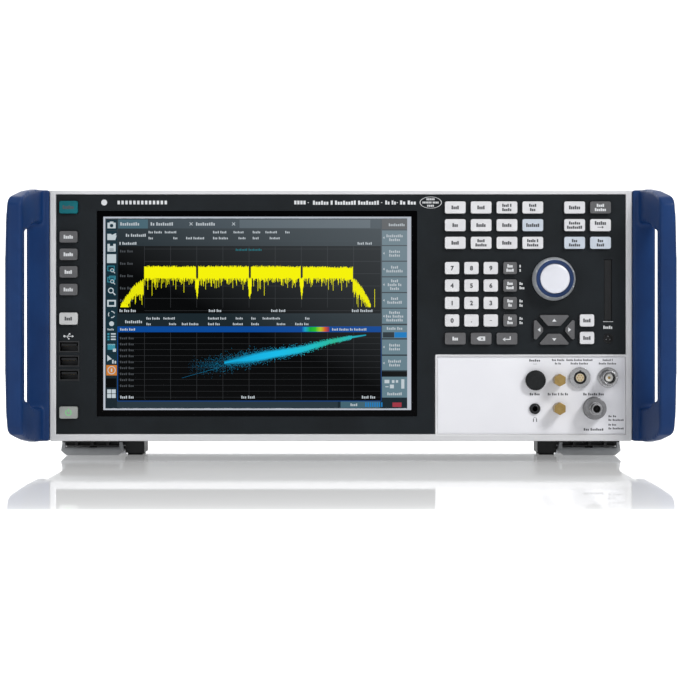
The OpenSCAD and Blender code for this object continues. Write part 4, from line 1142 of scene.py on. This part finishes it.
# thread on the barrel
thread = bmesh.new()
barrel_r = 3.5
thread_pitch = 0.75
for k in range(7):
    y = rf_mouth + 0.7 + thread_pitch * k
    turned(thread, rf, [(barrel_r - 0.15, y - 0.3), (barrel_r + 0.12, y),
                        (barrel_r - 0.15, y + 0.3)], closed=True)
piece("rf_thread", "root", dull_steel, thread)
# knurled grip round the nut, and a stepped shoulder on its face
knurl = bmesh.new()
loft(knurl, [fluted(rf, r, y, dip, 60) for r, y, dip in (
    (7.3, nut_face + 1.2, 0), (7.62, nut_face + 1.5, 0.22), (7.62, nut_face + 8, 0.22),
    (7.3, nut_face + 8.3, 0))])
piece("rf_knurl", "root", dull_steel, knurl)
shoulder = turned(bmesh.new(), rf, [
    (3.7, nut_face + 0.3), (3.7, nut_face - 0.9), (4.6, nut_face - 0.9),
    (4.9, nut_face - 0.5), (4.9, nut_face + 0.3)], closed=True)
piece("rf_shoulder", "root", nickel, shoulder)
dielectric = turned(bmesh.new(), rf, [
    (2.55, rf_mouth + 8), (2.55, rf_mouth + 5), (0.62, rf_mouth + 5),
    (0.62, rf_mouth + 8)], closed=True)
piece("rf_dielectric", "root", black_abs, dielectric)
pin = turned(bmesh.new(), rf, [
    (0.58, rf_mouth + 8), (0.58, rf_mouth + 2.6), (0.3, rf_mouth + 2.2)], steps=24)
piece("rf_pin", "root", black_nickel, pin)


# Front USB ports --------------------------------------------------------------
# Three sockets in blackened steel shells behind cut-outs in the dark panel, each with a
# black tongue that carries four contacts.

# Blackened steel sheet of the shells: dark, with a weak metallic shine
shell_steel = finish("blackened_steel_shell", "2a2b2d", "38393b", 0.4, grain=0.4, Metallic=0.6)
refine("usb_ports", shell_steel, 0.12)
usb_x = middle("usb_ports")[0]
rect = ((-1, -1), (1, -1), (1, 1), (-1, 1))     # the corners of a rectangle, in order
blades = bmesh.new()
tongues = bmesh.new()
for z in (-21.9, -32, -41.9):
    loft(tongues, [[at(usb_x + sx * w, y, z + 1.35 + sz * h) for sx, sz in rect]
                   for w, h, y in ((5.3, 0.75, 1.4), (5.6, 1.02, 1.8), (5.6, 1.02, 12))])
    for k in range(4):
        x = usb_x - 3.45 + 2.3 * k
        loft(blades, [[at(x + sx * 0.5, y, z + 0.35 + sz * 0.08) for sx, sz in rect]
                      for y in (2.2, 11)])
piece("usb_tongues", "root", black_abs, tongues)
piece("usb_contacts", "root", gold, blades)


# Handles and rear feet --------------------------------------------------------
# Blue glass-filled nylon mouldings. A handle stands at each side of the front, with a grip
# bar to lift by, and a moulded corner protects each corner of the rear panel.

# Moulded blue nylon: a fine erosion texture that softens the light
blue_nylon = finish("moulded_blue_nylon", "0a2a57", "0e3161", 0.42, drift=22, grain=0.9,
                    depth=0.02, Specular_IOR_Level=0.2)


def softened(node, rounds):
    """Shows a CAD node as a moulding with round edges: evened out and then relaxed."""
    mesh = solid(node)
    data = bpy.data.meshes.new(node)
    mesh.to_mesh(data)
    mesh.free()
    draft = bpy.data.objects.new(node + "_draft", data)
    bpy.context.scene.collection.objects.link(draft)
    even = draft.modifiers.new("even", "REMESH")
    even.mode = "VOXEL"
    even.voxel_size = 0.001
    relax = draft.modifiers.new("relax", "SMOOTH")
    relax.factor = 0.5
    relax.iterations = rounds
    ready = draft.evaluated_get(bpy.context.evaluated_depsgraph_get())
    moulded = bmesh.new()
    moulded.from_mesh(ready.to_mesh())
    bpy.data.objects.remove(draft)
    made = piece(node + "_moulding", body_of(node), blue_nylon, moulded, 180)
    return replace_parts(made, node)


for side in ("left", "right"):
    softened("handle_" + side, 8)
softened("rear_feet", 5)

# Screws that hold them: blackened steel with a cross recess in each round head
black_steel = finish("blackened_steel", "3c3c3e", "4a4a4c", 0.35, drift=3, grain=0.4,
                     Metallic=0.9)
refine("case_screws", black_steel, 0.4)
# Painted shade: a near-black cross laid on each screw head for the shade at the bottom of its
# recess
recess_painted_shade = finish("recess_painted_shade", "0c0c0d", "131314", 0.6, grain=0.4)
recess = bmesh.new()
rear_reach = 0.012      # a screw that reaches further than this along y holds a rear foot
for (x, z), part in separate("case_screws"):
    xs = [v.co.x for v in part.verts]
    ys = [v.co.y for v in part.verts]
    low_y, high_y = min(ys), max(ys)
    spot = Vector(((min(xs) + max(xs)) / 2, (low_y + high_y) / 2, middle_z + z / 1000))
    part.free()
    rear = high_y - low_y > rear_reach
    outward = Vector((0, 1, 0)) if rear else Vector((math.copysign(1, spot.x), 0, 0))
    head = Vector((spot.x, high_y, spot.z)) if rear else Vector(
        (max(xs) if spot.x > 0 else min(xs), spot.y, spot.z))
    across = outward.cross(Vector((0, 0, 1)))
    for a, b in ((2.0, 0.35), (0.35, 2.0)):
        loft(recess, [[head + outward * d + across * sa * a / 1000 + Vector((0, 0, sb * b / 1000))
                       for sa, sb in rect] for d in (-0.0005, 0.00004)])
# the dark crosses are painted shade, laid just proud of the heads
piece("screw_recess_shades", "root", recess_painted_shade, recess)


# Covers and rear panel --------------------------------------------------------
# Folded aluminium sheets, powder coated light grey: the top cover with its cooling slots,
# the bottom cover inside it, and the rear panel with the fan's grille.

# Light grey powder coat: even, with an orange peel about 1.4 mm wide
case_coat = finish("light_grey_powder_coat", "a2a5a8", "a9acaf", 0.5, drift=90, grain=1.4,
                   depth=0.02)
refine("top_cover", case_coat, 0.3)
refine("bottom_cover", case_coat, 0.25)
refine("rear_panel", case_coat, 0.2, 1)


def back_of(node):
    """The depth of a CAD node's rearmost point, in millimetres."""
    return (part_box(node)[1].y - face_y) * 1000


rear_y = back_of("rear_panel")


def rear_words(mesh, x, z, letters, size, width):
    """A line of small blocks on the rear panel, in place of words that are read from behind."""
    units = sum(letters) + 0.6 * (len(letters) - 1)
    pitch = width / units
    right = x + width / 2
    for count in letters:
        for i in range(count):
            tall = word_heights[i % len(word_heights)]
            plate(mesh, [(right, z - size / 2), (right - 0.7 * pitch, z - size / 2),
                         (right - 0.7 * pitch, z + (tall - 0.5) * size),
                         (right, z + (tall - 0.5) * size)], rear_y, rear_y + print_t)
            right -= pitch
        right -= 0.6 * pitch


rear_print = bmesh.new()
for x, z, letters, width in ((-110, -8, [3, 3], 13), (-84, -8, [3, 2], 11), (-6, -8, [7, 1], 15),
                             (-60, -38.5, [3], 6), (-30, -37.5, [4], 8), (-158, -8.5, [5], 10),
                             (-158, -68.5, [3, 5, 2], 20), (-158, -72.5, [2, 6], 16)):
    rear_words(rear_print, x, z, letters, 2.4, width)
piece("rear_print", "root", dark_ink, rear_print)

# Small countersunk screws along the rear panel's edges hold the covers
edge_screws = bmesh.new()
for x in (-140, -70, 0, 70, 140):
    for z in (82, -82):
        turned(edge_screws, (x, z), [(2.3, rear_y - 0.2), (2.6, rear_y + 0.05),
                                     (2.3, rear_y + 0.35), (0.9, rear_y + 0.38)], steps=32)
piece("edge_screws", "root", black_steel, edge_screws)


# Fan, mains inlet and rear sockets --------------------------------------------
# A square axial fan behind the grille, the appliance inlet with its switch, and sockets
# for the network, for two USB plugs and for three bayonet leads.

refine("fan_frame", black_abs, 0.4)
refine("fan_rotor", black_abs, 0.3)
refine("mains_inlet", black_abs, 0.4)
# Black ABS from a polished mould, which shines more than the textured plastic round it
gloss_abs = finish("gloss_black_abs", "101112", "161718", 0.25, grain=0.5, depth=0.004)
refine("mains_rocker", gloss_abs, 0.5)
refine("rear_sockets", nickel, 0.25)
for number, x in enumerate((-110, -84, -6), 1):
    bayonet(f"rear_bayonet_{number}", (x, -20), back_of("rear_sockets"), -1)


# Feet -------------------------------------------------------------------------
# A black glass-filled nylon base under each front corner, with a rubber pad and a grey
# tilt foot on a steel pin, which swings down to raise the front.

# Black nylon: satin, with a coarser texture than the ABS
black_nylon = finish("black_nylon", "161617", "1e1e20", 0.45, drift=12, grain=0.8, depth=0.02)
refine("front_feet", black_nylon, 0.4)
# Rubber pads: matt, with a slight bloom
pad_rubber = finish("pad_rubber", "0e0e0f", "171718", 0.8, drift=6, grain=0.7, depth=0.03)
refine("foot_pads", pad_rubber, 0.3)
# Grey nylon tilt feet, smooth from the mould
grey_nylon = finish("grey_nylon", "b6b8ba", "c2c4c6", 0.38, drift=14, grain=0.7, depth=0.01)
for side in ("left", "right"):
    refine("tilt_foot_" + side, grey_nylon, 0.7, 3)


# Inner pieces -----------------------------------------------------------------
# What the case holds: the screen's module, key mats, boards, encoder and volume control,
# receiver block, power supply and the folded chassis. Most of it shows only through slots.


def dress(material, *nodes):
    """Gives CAD nodes their finish and leaves their shape."""
    for node in nodes:
        for slot in frame["nodes"][node].material_slots:
            slot.material = material


# Zinc plated steel sheet, with the plate's large soft crystals
zinc = finish("zinc_plated_sheet", "a7abad", "b9bdbf", 0.38, drift=9, grain=1.5, depth=0.004,
              Metallic=0.9)
dress(zinc, "chassis", "power_supply")
# Milled aluminium, with tool marks about 0.8 mm apart
milled = finish("milled_aluminium", "b2b4b6", "c0c2c4", 0.3, drift=20, grain=0.8, depth=0.008,
                stretch=(1, 12, 1), Metallic=1)
dress(milled, "rf_module")
# Bright drawn steel of pins, shafts and cans
drawn_steel = finish("drawn_steel", "9fa1a3", "b0b2b4", 0.25, drift=5, grain=0.4,
                     stretch=(8, 1, 1), Metallic=1)
dress(drawn_steel, "hinge_pins", "knob_shaft", "control_bodies")
dress(gold, "shaft_collar")
# Glass-epoxy board under green solder resist, with traces drawn 2 mm apart
resist = finish("green_solder_resist", "14502f", "2b7a49", 0.3, drift=2, grain=1.2, depth=0.02)
dress(resist, "circuit_boards")
# Silicone rubber of the key mats: matt and slightly translucent looking
silicone = finish("silicone_mat", "8d8e90", "9a9b9d", 0.55, drift=10, grain=1, depth=0.01)
dress(silicone, "key_mat")
# Folded steel back of the screen's module, duller than the chassis
module_steel = finish("screen_module_steel", "6a6c6e", "787a7c", 0.4, drift=9, grain=0.8,
                      Metallic=0.8)
dress(module_steel, "lcd_module")


# Studio -----------------------------------------------------------------------
# The object stands on a sheet of white acrylic that runs into a sweep of backdrop paper.
# Soft lights stand in front, above and behind, and a long lens at the height of the screen.

back = 3.6              # metres from the origin to where the floor starts to rise
bend = 1.6              # the radius of that rise
wide = 9                # the sweep's half width


def paper(name, material, profile):
    """A wide strip of the sweep along its [y, z] profile."""
    mesh = bmesh.new()
    rows = [[mesh.verts.new((x, y, z)) for x in (-wide, wide)] for y, z in profile]
    for a, b in zip(rows, rows[1:]):
        mesh.faces.new((a[0], a[1], b[1], b[0]))
    data = bpy.data.meshes.new(name)
    mesh.to_mesh(data)
    mesh.free()
    data.shade_smooth()
    data.materials.append(material)
    made = bpy.data.objects.new(name, data)
    bpy.context.scene.collection.objects.link(made)


# White acrylic sheet, lit softly from below: it mirrors what stands on it at a low angle.
# Its gloss is laid on under the object and fades out over 0.3 m in front of it.
acrylic = finish("white_acrylic_sheet", "e6e6e6", "e9e9e9", 0.03, drift=900, grain=60, depth=0,
                 Emission_Color=srgb("ffffff"), Emission_Strength=0.19)
sheet = acrylic.node_tree
ahead = add_node(sheet, "SeparateXYZ", {}, {0: add_node(sheet, "TexCoord").outputs["Object"]})
shine = add_node(sheet, "MapRange", {"From Min": face_y - 0.42, "From Max": face_y - 0.12,
                                     "To Min": 0, "To Max": 0.5}, {"Value": ahead.outputs["Y"]})
sheet.links.new(shine.outputs["Result"],
                sheet.nodes["Principled BSDF"].inputs["Specular IOR Level"])
# Backdrop paper, lit from behind so that it stays pure white
paper_white = finish("backdrop_paper", "e8e8e8", "ececec", 0.9, drift=900, grain=40, depth=0,
                     Emission_Color=srgb("ffffff"), Emission_Strength=0.8)
paper("floor", acrylic, [(-wide, 0), (back, 0)])
arc = [math.pi / 2 * i / 24 for i in range(25)]
paper("backdrop", paper_white, [(back + bend * math.sin(a), bend * (1 - math.cos(a)))
                                for a in arc] + [(back + bend, 7)])

target = at(0, 0, 0)    # the lights face the middle of the dark panel


def softbox(name, place, size, power):
    """A square soft light that faces the object and doesn't show itself."""
    lamp = bpy.data.lights.new(name, "AREA")
    lamp.shape = "SQUARE"
    lamp.size = size
    lamp.energy = power
    made = bpy.data.objects.new(name, lamp)
    made.location = place
    made.rotation_mode = "QUATERNION"
    made.rotation_quaternion = (target - Vector(place)).to_track_quat("-Z", "Y")
    made.visible_camera = False
    bpy.context.scene.collection.objects.link(made)


softbox("key_light", (1.3, -1.9, 1.45), 0.6, 33)
softbox("fill_light", (-1.5, -2.3, 0.45), 1.6, 10)
softbox("top_light", (0, 0.3, 2.3), 1.6, 32)
softbox("rear_light", (-1.4, 2.6, 1.8), 1.6, 18)

# The room: a weak, even light from all sides
world = bpy.data.worlds.new("room")
world.use_nodes = True
bpy.context.scene.world = world
sky = world.node_tree.nodes["Background"]
sky.inputs["Strength"].default_value = 0.45
sky.inputs["Color"].default_value = srgb("f4f6f8")

bpy.context.scene.view_settings.view_transform = "Standard"

lens = bpy.data.cameras.new("lens")
lens.lens = 123.8
lens.sensor_width = 36
lens.shift_x = -0.0013
lens.shift_y = -0.0294
camera = bpy.data.objects.new("camera", lens)
camera.location = (0, face_y - 1.65, middle_z - 0.0031)
camera.rotation_euler = (math.pi / 2, 0, 0)
bpy.context.scene.collection.objects.link(camera)
bpy.context.scene.camera = camera
